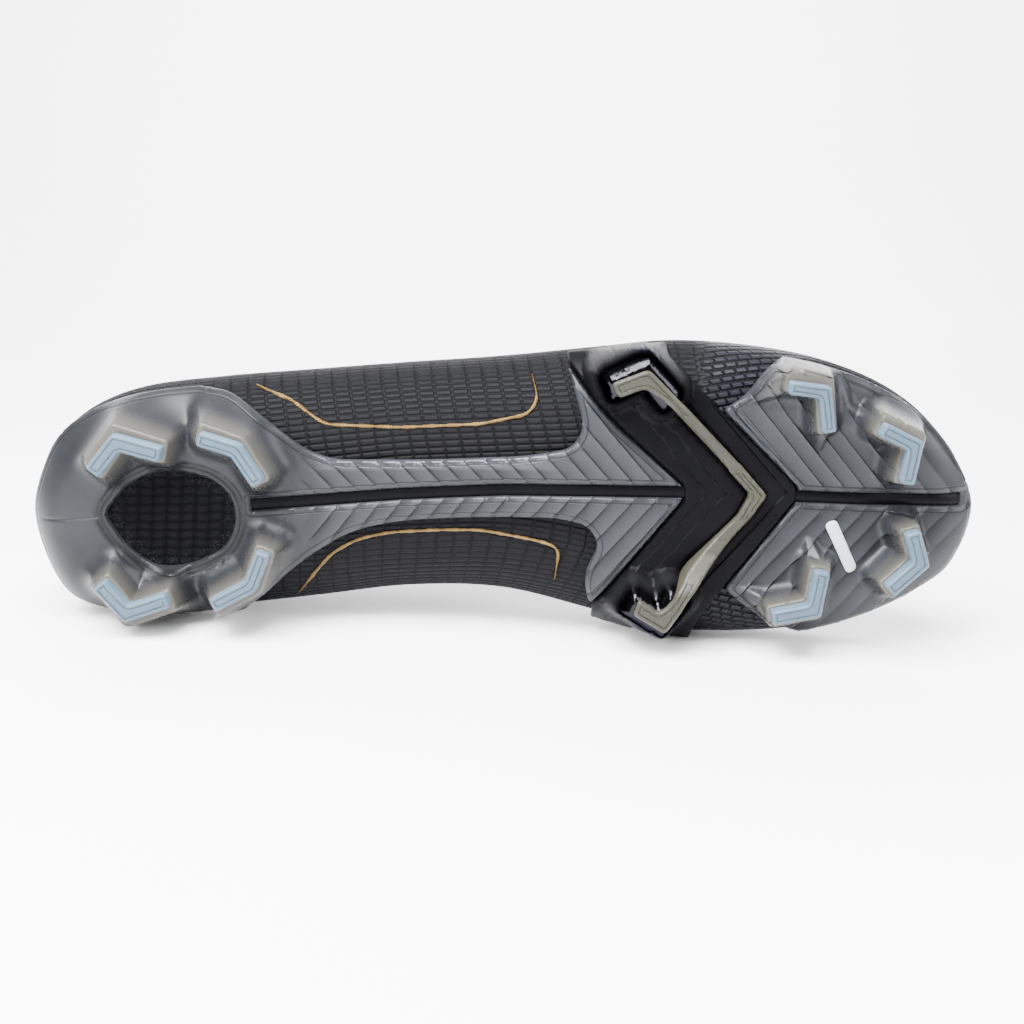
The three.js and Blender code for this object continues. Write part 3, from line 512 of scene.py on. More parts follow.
def band(line, half, extend=0.0):
    """Closed outline of the band of half a width on both sides of an open line."""
    path = np.array(line, float)
    for end, nxt in ((0, 1), (-1, -2)):
        away = path[end] - path[nxt]
        path[end] = path[end] + away / np.linalg.norm(away) * extend
    legs = np.diff(path, axis=0)
    side = np.column_stack([-legs[:, 1], legs[:, 0]]) / np.linalg.norm(legs, axis=1)[:, None]
    n1 = np.vstack([side[:1], side])
    n2 = np.vstack([side, side[-1:]])
    scale = half / np.maximum(0.35, 1 + (n1 * n2).sum(1))
    shift = (n1 + n2) * scale[:, None]
    return np.vstack([path - shift, (path + shift)[::-1]])


def smooth(low, high, value):
    """0 up to low, 1 from high on, smooth between them."""
    t = np.clip((value - low) / (high - low), 0, 1)
    return t * t * (3 - 2 * t)


def groove_y(x):
    """Sideways place of the sole's centre groove."""
    line = np.array(SPINE_REAR[:-1] + SPINE_FRONT)
    return np.interp(x, line[:, 0], line[:, 1])


def rib_place(xy):
    """Position across the chevron ribs: equal along a V that points to the toe."""
    return xy[:, 0] + V_SLOPE * np.abs(xy[:, 1] - groove_y(xy[:, 0]))


# ---------------------------------------------------------------- meshes
def new_object(name, points, faces, material, smooth_angle=None):
    """Object from points in millimetres, smooth all over or up to an angle in degrees."""
    mesh = bpy.data.meshes.new(name)
    mesh.from_pydata(((np.asarray(points) + SHIFT) * MM).tolist(), [], faces)
    mesh.validate()
    obj = bpy.data.objects.new(name, mesh)
    bpy.context.scene.collection.objects.link(obj)
    mesh.materials.append(material)
    bpy.ops.object.select_all(action="DESELECT")
    obj.select_set(True)
    bpy.context.view_layer.objects.active = obj
    if smooth_angle is None:
        bpy.ops.object.shade_smooth()
    else:
        bpy.ops.object.shade_smooth_by_angle(angle=math.radians(smooth_angle))
    return obj


def give_values(obj, name, values):
    """Values for the points of a slab's one face, repeated for the other face."""
    layer = obj.data.attributes.new(name, "FLOAT", "POINT")
    layer.data.foreach_set("value", np.tile(values, 2).astype(np.float32))


def give_uv(obj, uv):
    layer = obj.data.uv_layers.new(name="UVMap")
    corners = np.empty(len(obj.data.loops), int)
    obj.data.loops.foreach_get("vertex_index", corners)
    layer.data.foreach_set("uv", np.asarray(uv, np.float32)[corners].ravel())


def grid_slab(name, outer, inner, wrap, material, uv, smooth_angle=None):
    """Closed sheet from two matching grids of points, rows by columns, that may wrap round."""
    rows, cols, _ = outer.shape
    count = rows * cols
    faces = []
    across = cols if wrap else cols - 1
    for r in range(rows - 1):
        for c in range(across):
            a = r * cols + c
            b = r * cols + (c + 1) % cols
            faces.append((a, b, b + cols, a + cols))
            faces.append((a + count, a + cols + count, b + cols + count, b + count))
    rim = []
    if wrap:
        rim.append([*range(cols), 0])
        rim.append([(rows - 1) * cols + c for c in range(cols - 1, -1, -1)] + [rows * cols - 1])
    else:
        loop = list(range(cols))
        loop += [r * cols + cols - 1 for r in range(1, rows)]
        loop += [(rows - 1) * cols + c for c in range(cols - 2, -1, -1)]
        loop += [r * cols for r in range(rows - 2, -1, -1)]
        rim.append(loop)
    for loop in rim:
        for a, b in zip(loop, loop[1:]):
            faces.append((b, a, a + count, b + count))
    points = np.vstack([outer.reshape(-1, 3), inner.reshape(-1, 3)])
    obj = new_object(name, points, faces, material, smooth_angle)
    flat = uv.reshape(-1, 2)
    give_uv(obj, np.vstack([flat, flat]))
    return obj


def region_slab(name, inside, lines, loose, front, back, material, smooth_angle):
    """Closed slab over a region in plan. lines are (points, closed) that the mesh follows; loose
    are points between them; front and back turn points in plan into the slab's two faces."""
    points = []
    edges = []
    for line, closed in lines:
        start = len(points)
        points.extend(map(tuple, line))
        edges.extend((start + i, start + i + 1) for i in range(len(line) - 1))
        if closed:
            edges.append((start + len(line) - 1, start))
    near = np.array(points)
    keep = np.ones(len(loose), bool)
    for start in range(0, len(loose), 1500):
        block = loose[start:start + 1500]
        d = ((block[:, None, :] - near[None, :, :]) ** 2).sum(2).min(1)
        keep[start:start + 1500] = d > 0.12
    loose = loose[keep]
    points.extend(map(tuple, loose))
    verts, _, faces, _, _, _ = delaunay_2d_cdt(
        [Vector(p) for p in points], edges, [], 0, 1e-4, False
    )
    xy = np.array([tuple(v) for v in verts])
    tri = np.array([f for f in faces if len(f) == 3])
    middle = xy[tri].mean(1)
    tri = tri[inside(middle)]
    a, b, c = xy[tri[:, 0]], xy[tri[:, 1]], xy[tri[:, 2]]
    turn = (b[:, 0] - a[:, 0]) * (c[:, 1] - a[:, 1]) - (b[:, 1] - a[:, 1]) * (c[:, 0] - a[:, 0])
    tri = tri[np.abs(turn) > 1e-7]
    turn = turn[np.abs(turn) > 1e-7]
    tri[turn > 0] = tri[turn > 0][:, ::-1]  # front faces look down
    used = np.unique(tri)
    number = np.full(len(xy), -1)
    number[used] = np.arange(len(used))
    tri = number[tri]
    xy = xy[used]
    count = len(xy)
    directed = dict.fromkeys((f[i], f[(i + 1) % 3]) for f in tri for i in range(3))
    rim = [e for e in directed if (e[1], e[0]) not in directed]
    faces = [tuple(f) for f in tri] + [tuple(f[::-1] + count) for f in tri]
    faces += [(b, a, a + count, b + count) for a, b in rim]
    obj = new_object(name, np.vstack([front(xy), back(xy)]), faces, material, smooth_angle)
    give_uv(obj, np.vstack([xy, xy]) * UV_PER_MM)
    return obj, xy


def hex_points(low, high, step):
    """Points on a triangular grid between two corners."""
    row_share = 0.866
    xs = np.arange(low[0], high[0], step)
    ys = np.arange(low[1], high[1], step * row_share)
    gx, gy = np.meshgrid(xs, ys)
    gx[1::2] += step / 2
    return np.column_stack([gx.ravel(), gy.ravel()])


def tube(name, path, radius, material, sides, flat=1.0):
    """Closed tube along a path; its radius may change along it, and flat presses it."""
    path = np.asarray(path, float)
    radius = np.broadcast_to(radius, len(path))
    t = np.gradient(path, axis=0)
    t /= np.linalg.norm(t, axis=1)[:, None]
    n = np.cross(t[0], (0.13, 0.2, 1.0))
    frames = []
    for k in range(len(path)):
        n = n - t[k] * (n @ t[k])
        n /= np.linalg.norm(n)
        frames.append(n)
    n = np.array(frames)
    b = np.cross(t, n)
    angle = np.linspace(0, 2 * math.pi, sides, endpoint=False)
    rings = path[:, None, :] + radius[:, None, None] * (
        np.cos(angle)[None, :, None] * n[:, None, :]
        + flat * np.sin(angle)[None, :, None] * b[:, None, :]
    )
    count = len(path)
    points = list(rings.reshape(-1, 3))
    faces = []
    for k in range(count - 1):
        for i in range(sides):
            j = (i + 1) % sides
            faces.append((k * sides + i, k * sides + j, (k + 1) * sides + j, (k + 1) * sides + i))
    faces.append(tuple(range(sides - 1, -1, -1)))
    faces.append(tuple((count - 1) * sides + i for i in range(sides)))
    obj = new_object(name, points, faces, material)
    run = np.concatenate([[0], np.cumsum(np.linalg.norm(np.diff(path, axis=0), axis=1))])
    uv = np.stack(np.broadcast_arrays(run[:, None], angle[None, :] * radius.max()), axis=2)
    give_uv(obj, uv.reshape(-1, 2) * UV_PER_MM)
    return obj


def inner_rings(loop, reaches):
    """Rings of points at distances inside a loop, as far as they don't come nearer to it."""
    n = inward_normals(loop)
    rings = []
    for reach in reaches:
        ring = loop + n * reach
        d, _ = segment_distance(ring, loop, True)
        rings.append(ring[(d > reach - 0.03) & within(ring, loop)])
    return rings


def v_lines(places, reach, spacing=1.4, middle=None):
    """Open lines that follow a V which points to the toe, one on each side of its middle."""
    lines = []
    for place in places:
        for side in (-1, 1):
            a = np.arange(0, reach, spacing)
            x = place - V_SLOPE * a
            y = groove_y(x) if middle is None else middle
            lines.append((np.column_stack([x, y + side * a]), False))
    return lines


def finish_piece(obj, body, slot, *nodes):
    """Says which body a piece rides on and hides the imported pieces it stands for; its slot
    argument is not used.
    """
    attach(obj, body)
    if nodes:
        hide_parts(*nodes)


# ---------------------------------------------------------------- materials
class Wire:
    """A shader value that arithmetic can be written on."""

    def __init__(self, tree, socket):
        self.tree = tree
        self.socket = socket

    def math(self, operation, *others):
        sockets = dict(enumerate((self, *others)))
        made = self.tree.node("ShaderNodeMath", sockets, operation=operation)
        return Wire(self.tree, made.outputs[0])

    def __add__(self, other):
        return self.math("ADD", other)

    def __sub__(self, other):
        return self.math("SUBTRACT", other)

    def __mul__(self, other):
        return self.math("MULTIPLY", other)

    def __truediv__(self, other):
        return self.math("DIVIDE", other)

    def __rsub__(self, other):
        made = self.tree.node("ShaderNodeMath", {0: other, 1: self}, operation="SUBTRACT")
        return Wire(self.tree, made.outputs[0])

    __radd__ = __add__
    __rmul__ = __mul__

    def fract(self):
        return self.math("FRACT")

    def abs(self):
        return self.math("ABSOLUTE")

    def step(self, low, high):
        """0 below low, 1 above high, smooth between them."""
        sockets = {"Value": self, "From Min": low, "From Max": high}
        made = self.tree.node("ShaderNodeMapRange", sockets, interpolation_type="SMOOTHSTEP")
        return Wire(self.tree, made.outputs["Result"])

    def line(self, at, half, soft):
        """1 on a band round a value, falling to 0 beside it."""
        return 1 - (self - at).abs().step(half, half + soft)


class Recipe:
    """One procedural material."""

    def __init__(self, name, **shader):
        self.material = bpy.data.materials.new(name)
        self.material.use_nodes = True
        self.nodes = self.material.node_tree.nodes
        self.links = self.material.node_tree.links
        self.shader = self.nodes["Principled BSDF"]
        for key, value in shader.items():
            self.shader.inputs[key.replace("_", " ")].default_value = value

    def node(self, kind, sockets=None, **choices):
        """A new node: its settings first, then the values or links of its sockets."""
        made = self.nodes.new(kind)
        for key, value in choices.items():
            setattr(made, key, value)
        for key, value in (sockets or {}).items():
            self.put(made.inputs[key], value)
        return made

    def put(self, slot, value):
        if isinstance(value, Wire):
            value = value.socket
        if isinstance(value, bpy.types.NodeSocket):
            self.links.new(value, slot)
        else:
            slot.default_value = value

    def feed(self, name, value):
        self.put(self.shader.inputs[name], value)

    def uv(self):
        """UV in millimetres, as two wires."""
        made = self.node("ShaderNodeUVMap", uv_map="UVMap")
        parts = self.node("ShaderNodeSeparateXYZ", {0: made.outputs[0]})
        return [Wire(self, parts.outputs[i]) * (1 / UV_PER_MM) for i in (0, 1)]

    def value(self, name):
        made = self.node("ShaderNodeAttribute", attribute_name=name)
        return Wire(self, made.outputs["Fac"])

    def noise(self, per_mm, detail=2.0, stretch=None):
        place = self.node("ShaderNodeTexCoord").outputs["Object"]
        if stretch:
            place = self.node("ShaderNodeMapping", {0: place, "Scale": stretch}).outputs[0]
        sockets = {"Vector": place, "Scale": per_mm / MM, "Detail": detail}
        return Wire(self, self.node("ShaderNodeTexNoise", sockets).outputs[0])

    def mix(self, amount, first, second):
        """Between two colours, each a wire or three numbers."""
        first, second = (c if isinstance(c, Wire) else (*c, 1) for c in (first, second))
        sockets = {0: amount, 6: first, 7: second}
        return Wire(self, self.node("ShaderNodeMix", sockets, data_type="RGBA").outputs[2])

    def bump(self, height, depth_mm):
        sockets = {"Strength": 1, "Distance": depth_mm * MM, "Height": height}
        self.feed("Normal", self.node("ShaderNodeBump", sockets).outputs[0])


def cells(u, v, wide, high, brick=0.0):
    """Raised rounded cells on a grid, with every second row moved along."""
    row = v / high
    shift = (row * 0.5).fract().step(0.499, 0.501) * brick if brick else 0.0
    across = (u / wide + shift).fract()
    up = row.fract()
    edge_u = 1 - ((across - 0.5).abs() * 2).step(0.72, 0.99)
    edge_v = 1 - ((up - 0.5).abs() * 2).step(0.35, 0.98)
    return edge_u * edge_v


def scaled(colour, factor):
    """A colour made darker or lighter."""
    return tuple(c * factor for c in colour)


def knit_material():
    base = tuple(settings().knit_colour)
    m = Recipe("knit", Specular_IOR_Level=0.05)
    u, v = m.uv()
    wave = m.noise(0.02, 1.0)
    dash = cells(u + v * 0.12 + wave * 3, v + wave * 2, 5.0, 2.0)
    lozenge = cells(u * 0.8 + v * 0.55, v - u * 0.25, 3.4, 2.3, 0.5)
    rough = m.value("scale")
    yarn = m.noise(1.6, 3.0)
    height = dash * 0.8 * (1 - rough) + lozenge * 1.7 * rough + yarn * 0.18
    m.bump(height, 0.42)
    pale_patches = m.noise(0.05, 3.0)
    # Painted shade and sheen: darker in the gaps between the raised knit cells, lighter on their
    # tops.
    tone = m.mix(dash * (1 - rough) + lozenge * rough, scaled(base, 0.45), scaled(base, 1.75))
    # Painted highlight: much lighter on the tops of the scale lozenges.
    tone = m.mix(lozenge * rough * 0.8, tone, scaled(base, 6.5))
    m.feed("Base Color", m.mix(pale_patches * 0.3, tone, scaled(base, 2.0)))
    m.feed("Roughness", 0.5 + yarn * 0.22 - rough * 0.3)
    return m.material


def coarse_knit_material():
    base = tuple(settings().knit_colour)
    m = Recipe("window_knit", Specular_IOR_Level=0.02)
    loop = m.value("loop")
    fibre = m.noise(2.4, 4.0)
    glint = (fibre - 0.62).step(0, 0.06) * m.value("rim")
    m.bump(fibre, 0.15)
    # Painted shade: darker in the gaps between the knit loops, lighter on the loops.
    tone = m.mix(loop, scaled(base, 0.3), scaled(base, 1.8))
    m.feed("Base Color", m.mix(glint, tone, (0.02, 0.02, 0.024)))
    m.feed("Roughness", 0.72 - glint * 0.3)
    return m.material


def plate_material():
    base = tuple(settings().plate_colour)
    milky = tuple(settings().milky_colour)
    m = Recipe("plate", Specular_IOR_Level=0.16)
    edge = m.value("edge")
    stud = m.value("stud")
    rib = m.value("rib")
    ring = m.value("ring")
    cloud = m.noise(0.06, 3.0)
    grain = m.noise(1.2, 3.0)
    fleck = m.noise(0.5, 4.0)
    hairline = edge.line(1.7, 0.12, 0.16)
    tone = m.mix(cloud.step(0.35, 0.7), scaled(base, 0.8), scaled(base, 1.2))
    # Painted shade on the ribs: the plate's colour runs from darker at each rib's foot to lighter at
    # its crest.
    tone = m.mix(rib * 0.75, tone, scaled(base, 2.1))
    # Painted shade: darker on the lowered band round the heel window and in the front plate's scoop
    # hollow.
    tone = m.mix(ring * 0.8, tone, scaled(base, 0.5))
    tone = m.mix(stud.step(0.22, 0.98) * 0.8, tone, milky)
    tone = m.mix(stud.step(0.88, 1.0) * 0.5, tone, scaled(milky, 1.4))
    # Painted highlight: lighter on the rounded rim along the plate's edges.
    tone = m.mix((1 - edge.step(0.15, 0.8)) * 0.35, tone, scaled(base, 2.6))
    tone = m.mix(hairline * 0.75, tone, scaled(base, 0.35))
    tone = m.mix(m.value("resin") * (0.2 + fleck * 0.3), tone, (0.05, 0.05, 0.06))
    m.feed("Base Color", tone)
    m.feed("Metallic", 0.35 - stud.step(0.0, 0.5) * 0.35)
    m.feed("Roughness", 0.36 + grain * 0.08 - stud.step(0.05, 0.5) * 0.16 - m.value("resin") * 0.25)
    calm = 1 - stud.step(0.02, 0.3)
    m.bump(grain * 0.12 * calm + cloud * 0.1 - hairline * 1.2 + m.value("resin") * fleck * 2, 0.1)
    return m.material


def gloss_material():
    m = Recipe("gloss_black", Specular_IOR_Level=0.1, Specular_Tint=(0.3, 0.3, 0.32, 1))
    cloud = m.noise(0.08, 3.0)
    scuff = m.noise(0.9, 4.0, (1, 0.25, 1))
    body = (1 - m.value("flat")).step(0, 0.75)
    tone = m.mix(cloud, (0.0006, 0.0006, 0.0008), (0.0018, 0.0018, 0.0023))
    m.feed("Base Color", m.mix(body, tone, (0.013, 0.013, 0.015)))
    m.feed("Metallic", body)
    m.feed("Roughness", 0.07 + scuff * 0.12 + m.value("flat") * 0.3)
    m.bump(cloud + scuff * 0.15, 0.06)
    return m.material


def moulded_material(name, colour, roughness, translucent=0.0):
    m = Recipe(
        name, Specular_IOR_Level=0.18, Subsurface_Weight=translucent, Subsurface_Scale=0.002,
    )
    edge = m.value("edge")
    cloud = m.noise(0.12, 3.0)
    grain = m.noise(1.4, 3.0)
    inner = edge.line(1.25, 0.1, 0.14)
    tone = m.mix(cloud, scaled(colour, 0.82), scaled(colour, 1.15))
    # Painted highlight: lighter on the rounded rim along the piece's edge.
    tone = m.mix((1 - edge.step(0.0, 0.7)) * 0.45, tone, scaled(colour, 1.5))
    tone = m.mix(inner * 0.35, tone, scaled(colour, 0.6))
    m.feed("Base Color", tone)
    m.feed("Roughness", roughness + grain * 0.18)
    m.bump(grain * 0.1 + cloud * 0.1 - inner, 0.12)
    return m.material


def fabric_material(name, colour, wide, high, sheen=0.1, depth=0.25):
    m = Recipe(name, Specular_IOR_Level=0.06, Sheen_Weight=sheen * 0.1)
    u, v = m.uv()
    weave = cells(u, v, wide, high, 0.5)
    fibre = m.noise(2.2, 3.0)
    pale_patches = m.noise(0.06, 3.0)
    # Painted shade: darker in the gaps of the weave, lighter on its raised cells.
    tone = m.mix(weave * 0.8 + fibre * 0.2, scaled(colour, 0.5), scaled(colour, 1.5))
    m.feed("Base Color", m.mix(pale_patches * 0.3, tone, scaled(colour, 2.0)))
    m.feed("Roughness", 0.62 + fibre * 0.3)
    m.bump(weave + fibre * 0.3, depth)
    return m.material


def gold_material():
    gold = tuple(settings().gold_colour)
    m = Recipe("gold_thread", Metallic=0.55, Roughness=0.4)
    u, v = m.uv()
    twist = ((u * 1.1 + v * 1.4).fract() - 0.5).abs() * 2
    fibre = m.noise(2.0, 3.0)
    pale_patches = m.noise(0.25, 3.0)
    # Painted shade: darker in the grooves between the twisted strands, lighter on their crests.
    tone = m.mix(twist, scaled(gold, 0.45), scaled(gold, 1.3))
    # Painted highlight: patches of pale gold over the thread where the noise is high.
    m.feed("Base Color", m.mix(pale_patches.step(0.5, 0.75) * 0.5, tone, (0.16, 0.105, 0.035)))
    m.feed("Roughness", 0.3 + fibre * 0.25)
    m.bump(twist + fibre * 0.4, 0.12)
    return m.material


def plain_material(name, colour, roughness):
    m = Recipe(name, Specular_IOR_Level=0.12)
    grain = m.noise(0.9, 3.0)
    cloud = m.noise(0.05, 2.0)
    m.feed("Base Color", m.mix(cloud, scaled(colour, 0.88), scaled(colour, 1.08)))
    m.feed("Roughness", roughness + grain * 0.15)
    m.bump(grain, 0.04)
    return m.material


def stage_material():
    """Pale sheet seen from its front, clear from its back."""
    m = Recipe("pale_sheet", Roughness=0.6)
    grain = m.noise(0.35, 3.0)
    cloud = m.noise(0.004, 2.0)
    m.feed("Base Color", m.mix(cloud, (0.8, 0.8, 0.8), (0.86, 0.86, 0.865)))
    m.bump(grain, 0.08)
    back = m.node("ShaderNodeNewGeometry").outputs["Backfacing"]
    clear = m.node("ShaderNodeBsdfTransparent").outputs[0]
    swap = m.node("ShaderNodeMixShader", {0: back, 1: m.shader.outputs[0], 2: clear})
    m.put(m.nodes["Material Output"].inputs["Surface"], swap.outputs[0])
    return m.material


# ---------------------------------------------------------------- the upper
def both_sides(rows, stations, distance):
    """Grid of points round the whole shoe: heel, lateral side, toe, medial side."""
    grid = []
    for v in rows:
        lateral = offset_surface(0, stations, np.full(len(stations), v), distance)
        medial = offset_surface(1, stations[1:-1][::-1], np.full(len(stations) - 2, v), distance)
        grid.append(np.vstack([lateral, medial]))
    return np.array(grid)


def even_stations(step):
    """Stations spaced evenly along the widest line."""
    run = np.concatenate([
        [0], np.cumsum(np.linalg.norm(np.diff(WIDEST[0] + WIDEST[1], axis=0), axis=1) / 2)
    ])
    count = int(run[-1] / step)
    return np.interp(np.linspace(0, run[-1], count), run, S_TABLE)


def fabric_uv(grid, mirror_from):
    """UV that follows the arc lengths along and across a grid. From a column on, the pattern runs
    back, as on the other side of the shoe."""
    along = np.linalg.norm(np.diff(grid, axis=1), axis=2)
    middle = along[len(along) // 3]
    u = np.concatenate([[0], np.cumsum(middle)])
    if mirror_from:
        u[mirror_from:] = u[mirror_from] * 2 - u[mirror_from:]
    across = np.linalg.norm(np.diff(grid, axis=0), axis=2)
    v = np.vstack([np.zeros(grid.shape[1]), np.cumsum(across, axis=0)])
    return np.stack(np.broadcast_arrays(u[None, :], v), axis=2) * UV_PER_MM


def build_upper():
    stations = even_stations(settings().knit_step)
    rows = np.concatenate([
        np.linspace(-2, -1, 9)[:-1], np.linspace(-1, 0, 20)[:-1], np.linspace(0, 1, 48)
    ])
    outer = both_sides(rows, stations, 0.0)
    inner = both_sides(rows, stations, -KNIT)
    uv = fabric_uv(outer, len(stations) - 1)
    zero = int(np.argmin(np.abs(rows)))
    uv[:, :, 1] -= uv[zero:zero + 1, :, 1]
    obj = grid_slab("upper_knit", outer, inner, True, knit_material(), uv)
    flat = outer.reshape(-1, 3)
    patch = smooth(196, 206, flat[:, 0]) * (1 - smooth(228, 240, flat[:, 0]))
    patch *= 1 - smooth(34, 44, flat[:, 2])
    give_values(obj, "scale", patch)
    finish_piece(obj, "shoe", "knit", "knit_upper")

    tape = fabric_material("topline_binding", (0.0028, 0.0028, 0.0034), 1.2, 1.2)
    heel = np.concatenate([np.linspace(6.9, 0, 90)[:-1], np.linspace(0, 6.9, 90)])
    sides = np.concatenate([np.ones(89, int), np.zeros(90, int)])
    swell = 3 * (0.55 + 0.45 * smooth(0, 10, np.minimum(np.arange(179), 178 - np.arange(179))))
    path = np.array([
        offset_surface(side, np.array([s]), np.array([1.0]), -KNIT / 2)[0] + (0, 0, r * 0.75)
        for side, s, r in zip(sides, heel, swell)
    ])
    roll = tube("collar_padding", path, swell, tape, 18)
    finish_piece(roll, "shoe", "collar", "collar_roll")


def sheet_rows(stations, rows, distance, side=None):
    """Grid of points over one side, or round the heel from the medial to the lateral side."""
    if side is None:
        lateral = stations[stations > 0]
        order = [(1, s) for s in lateral[::-1]] + [(0, 0.0)] + [(0, s) for s in lateral]
    else:
        order = [(side, s) for s in (stations if side == 0 else stations[::-1])]
    grid = []
    for v in rows:
        line = [offset_surface(i, np.array([s]), np.array([v]), distance)[0] for i, s in order]
        grid.append(line)
    return np.array(grid)


def build_inside():
    core = KNIT + GAP
    lined = core + COUNTER + GAP
    stations = np.linspace(0, 7.3, 60)
    rows = np.linspace(-0.5, 0.97, 28)
    outer = sheet_rows(stations, rows, -lined)
    inner = sheet_rows(stations, rows, -lined - LINING)
    cloth = fabric_material("lining_mesh", (0.003, 0.003, 0.0036), 1.6, 1.0)
    obj = grid_slab("quarter_lining", outer, inner, False, cloth, fabric_uv(outer, 0))
    finish_piece(obj, "shoe", "lining", "lining")

    top = core + BOARD + GAP + INSOLE
    stations = even_stations(2.2)
    rows = np.concatenate([np.linspace(-2, -1, 10)[:-1], np.linspace(-1, -0.82, 7)])
    below = both_sides(rows, stations, -(top - INSOLE))
    above = both_sides(rows, stations, -top)
    cloth = fabric_material("insole_cloth", (0.006, 0.0062, 0.0072), 1.1, 1.1, 0.2, 0.18)
    obj = grid_slab("insole_pad", below, above, True, cloth, fabric_uv(below, len(stations) - 1), 50)
    finish_piece(obj, "insole_body", "insole", "insole")


def tongue_grid(rows, drop):
    """Tongue points: rows along it, across from the lateral to the medial edge."""
    x, z, half, droop = spline(rows, np.linspace(0, 1, 40)).T
    across = np.linspace(-1, 1, 25)
    edge = 1 - 0.85 * np.abs(across) ** 14
    grid = []
    for k in range(len(x)):
        y = centre_at(x[k]) + across * half[k]
        lean = 1 - 0.25 * across**2
        crown = z[k] - droop[k] * across**2
        grid.append(np.column_stack([
            x[k] - drop * 0.42 * edge, y, crown - drop * 0.9 * lean * edge
        ]))
    return np.array(grid)


def build_tongue():
    for name, rows, body, node in (
        ("tongue_sheet", TONGUE, "shoe", "tongue"),
        ("tongue_free_end", TONGUE_TOP, "tongue_top_body", "tongue_top"),
    ):
        cloth = fabric_material(name + "_cloth", (0.0034, 0.0034, 0.0042), 2.2, 1.4, 0.2, 0.3)
        top = tongue_grid(rows, 0.0)
        low = tongue_grid(rows, 2.4)
        obj = grid_slab(name, top, low, False, cloth, fabric_uv(top, 0), 60)
        finish_piece(obj, body, "tongue", node)


def hole_frame(side, row):
    """Centre and normal of an eyelet, and the throat edge's point beside it."""
    s = np.array([np.linspace(8.35, 12.1, HOLE_ROWS)[::-1][row]])
    centre = surface(side, s, 0.86)[0]
    normal = normals(side, s, 0.86)[0]
    edge = surface(side, s, 1.0)[0]
    return centre, normal, edge


def lace_half(side, lift):
    """The lace's points from one lowest eyelet up, crossing at each row, and the side it ends on."""
    points = []
    for row in range(HOLE_ROWS):
        centre, normal, edge = hole_frame(side, row)
        if row > 0:
            points.append(centre * 0.55 + edge * 0.45 - normal * (UNDER_KNIT + 0.4))
        points.append(centre - normal * (KNIT + LACE_RADIUS))
        points.append(centre + normal * 0.4)
        points.append(centre + normal * (LACE_RADIUS + 1.7))
        if row == HOLE_ROWS - 1:
            break
        _, far_normal, far_edge = hole_frame(1 - side, row + 1)
        leave = edge + normal * (GAP + EYESTAY + LACE_RADIUS + 0.5)
        arrive = far_edge - far_normal * UNDER_KNIT
        points += [leave, (leave + arrive) / 2 + (0, 0, lift), arrive]
        side = 1 - side
    return points, side


def lace_tail(side):
    """The lace's end, from the top eyelet over the topline and down inside."""

    def at(s, v, distance, up=0.0):
        point = offset_surface(side, np.array([s]), np.array([v]), distance)[0]
        return point + (0, 0, up)

    inner = -UNDER_KNIT - 0.4
    return [
        at(8.05, 0.95, 3.6), at(7.95, 1, 2.4, 2), at(7.9, 1, -2.6, 2.6),
        at(7.85, 0.96, -UNDER_KNIT - 0.6), at(7.8, 0.82, inner), at(7.75, 0.68, inner),
    ]


def build_lacing():
    cord = fabric_material("lace_weave", (0.005, 0.005, 0.006), 0.9, 0.75, 0.25, 0.2)
    film = plain_material("eyestay_film", (0.003, 0.003, 0.0037), 0.34)
    right, right_side = lace_half(0, 1.6)
    left, left_side = lace_half(1, -1.1)
    tails = [lace_tail(right_side), lace_tail(left_side)]
    under = [hole_frame(side, 0)[2] - hole_frame(side, 0)[1] * UNDER_KNIT for side in (0, 1)]
    points = tails[0][::-1] + right[::-1] + under + left + tails[1]
    path = spline(points, np.linspace(0, 1, 700))
    obj = tube("lace_cord", path, LACE_RADIUS, cord, 10, 0.78)
    finish_piece(obj, "shoe", "lace", "lace")

    dark = plain_material("eyelet_shadow", (0.0006, 0.0006, 0.0006), 0.8)
    for side, node in ((0, "eyestay_lateral"), (1, "eyestay_medial")):
        stations = np.linspace(8, 13.4, 70)
        rows = np.linspace(0.7, 0.995, 16)
        outer = sheet_rows(stations, rows, GAP + EYESTAY, side)
        lower = sheet_rows(stations, rows, 0.02, side)
        name = "eyestay_" + "ab"[side]
        obj = grid_slab(name, outer, lower, False, film, fabric_uv(outer, 0), 50)
        finish_piece(obj, "shoe", "eyestay", node)
        for row in range(HOLE_ROWS):
            centre, normal, _ = hole_frame(side, row)
            turn = Vector(normal).to_track_quat("Z", "Y").to_matrix().to_4x4()
            spot = Vector((centre + normal * (GAP + EYESTAY + 0.05) + SHIFT) * MM)
            bpy.ops.object.select_all(action="DESELECT")
            bpy.ops.mesh.primitive_torus_add(
                major_segments=28, minor_segments=8, major_radius=(HOLE_RADIUS + 0.5) * MM,
                minor_radius=0.42 * MM, generate_uvs=False,
            )
            ring = bpy.context.object
            bpy.ops.mesh.primitive_cylinder_add(
                vertices=28, radius=(HOLE_RADIUS + 0.3) * MM, depth=0.1 * MM
            )
            disc = bpy.context.object
            for piece, look in ((ring, film), (disc, dark)):
                piece.data.materials.clear()
                piece.data.materials.append(look)
            ring.select_set(True)
            bpy.context.view_layer.objects.active = ring
            bpy.ops.object.join()
            ring.data.transform(Matrix.Translation(spot) @ turn)
            bpy.ops.object.shade_smooth_by_angle(angle=math.radians(40))
            ring.name = f"eyelet_{'ab'[side]}{row}"
            finish_piece(ring, "shoe", "eyestay")


# ---------------------------------------------------------------- the outsole
def stud_outline(line, half, extend):
    """Outline of a stud tip with softly rounded corners."""
    return rounded([(x, y, 0.9) for x, y in band(line, half, extend)], 4)


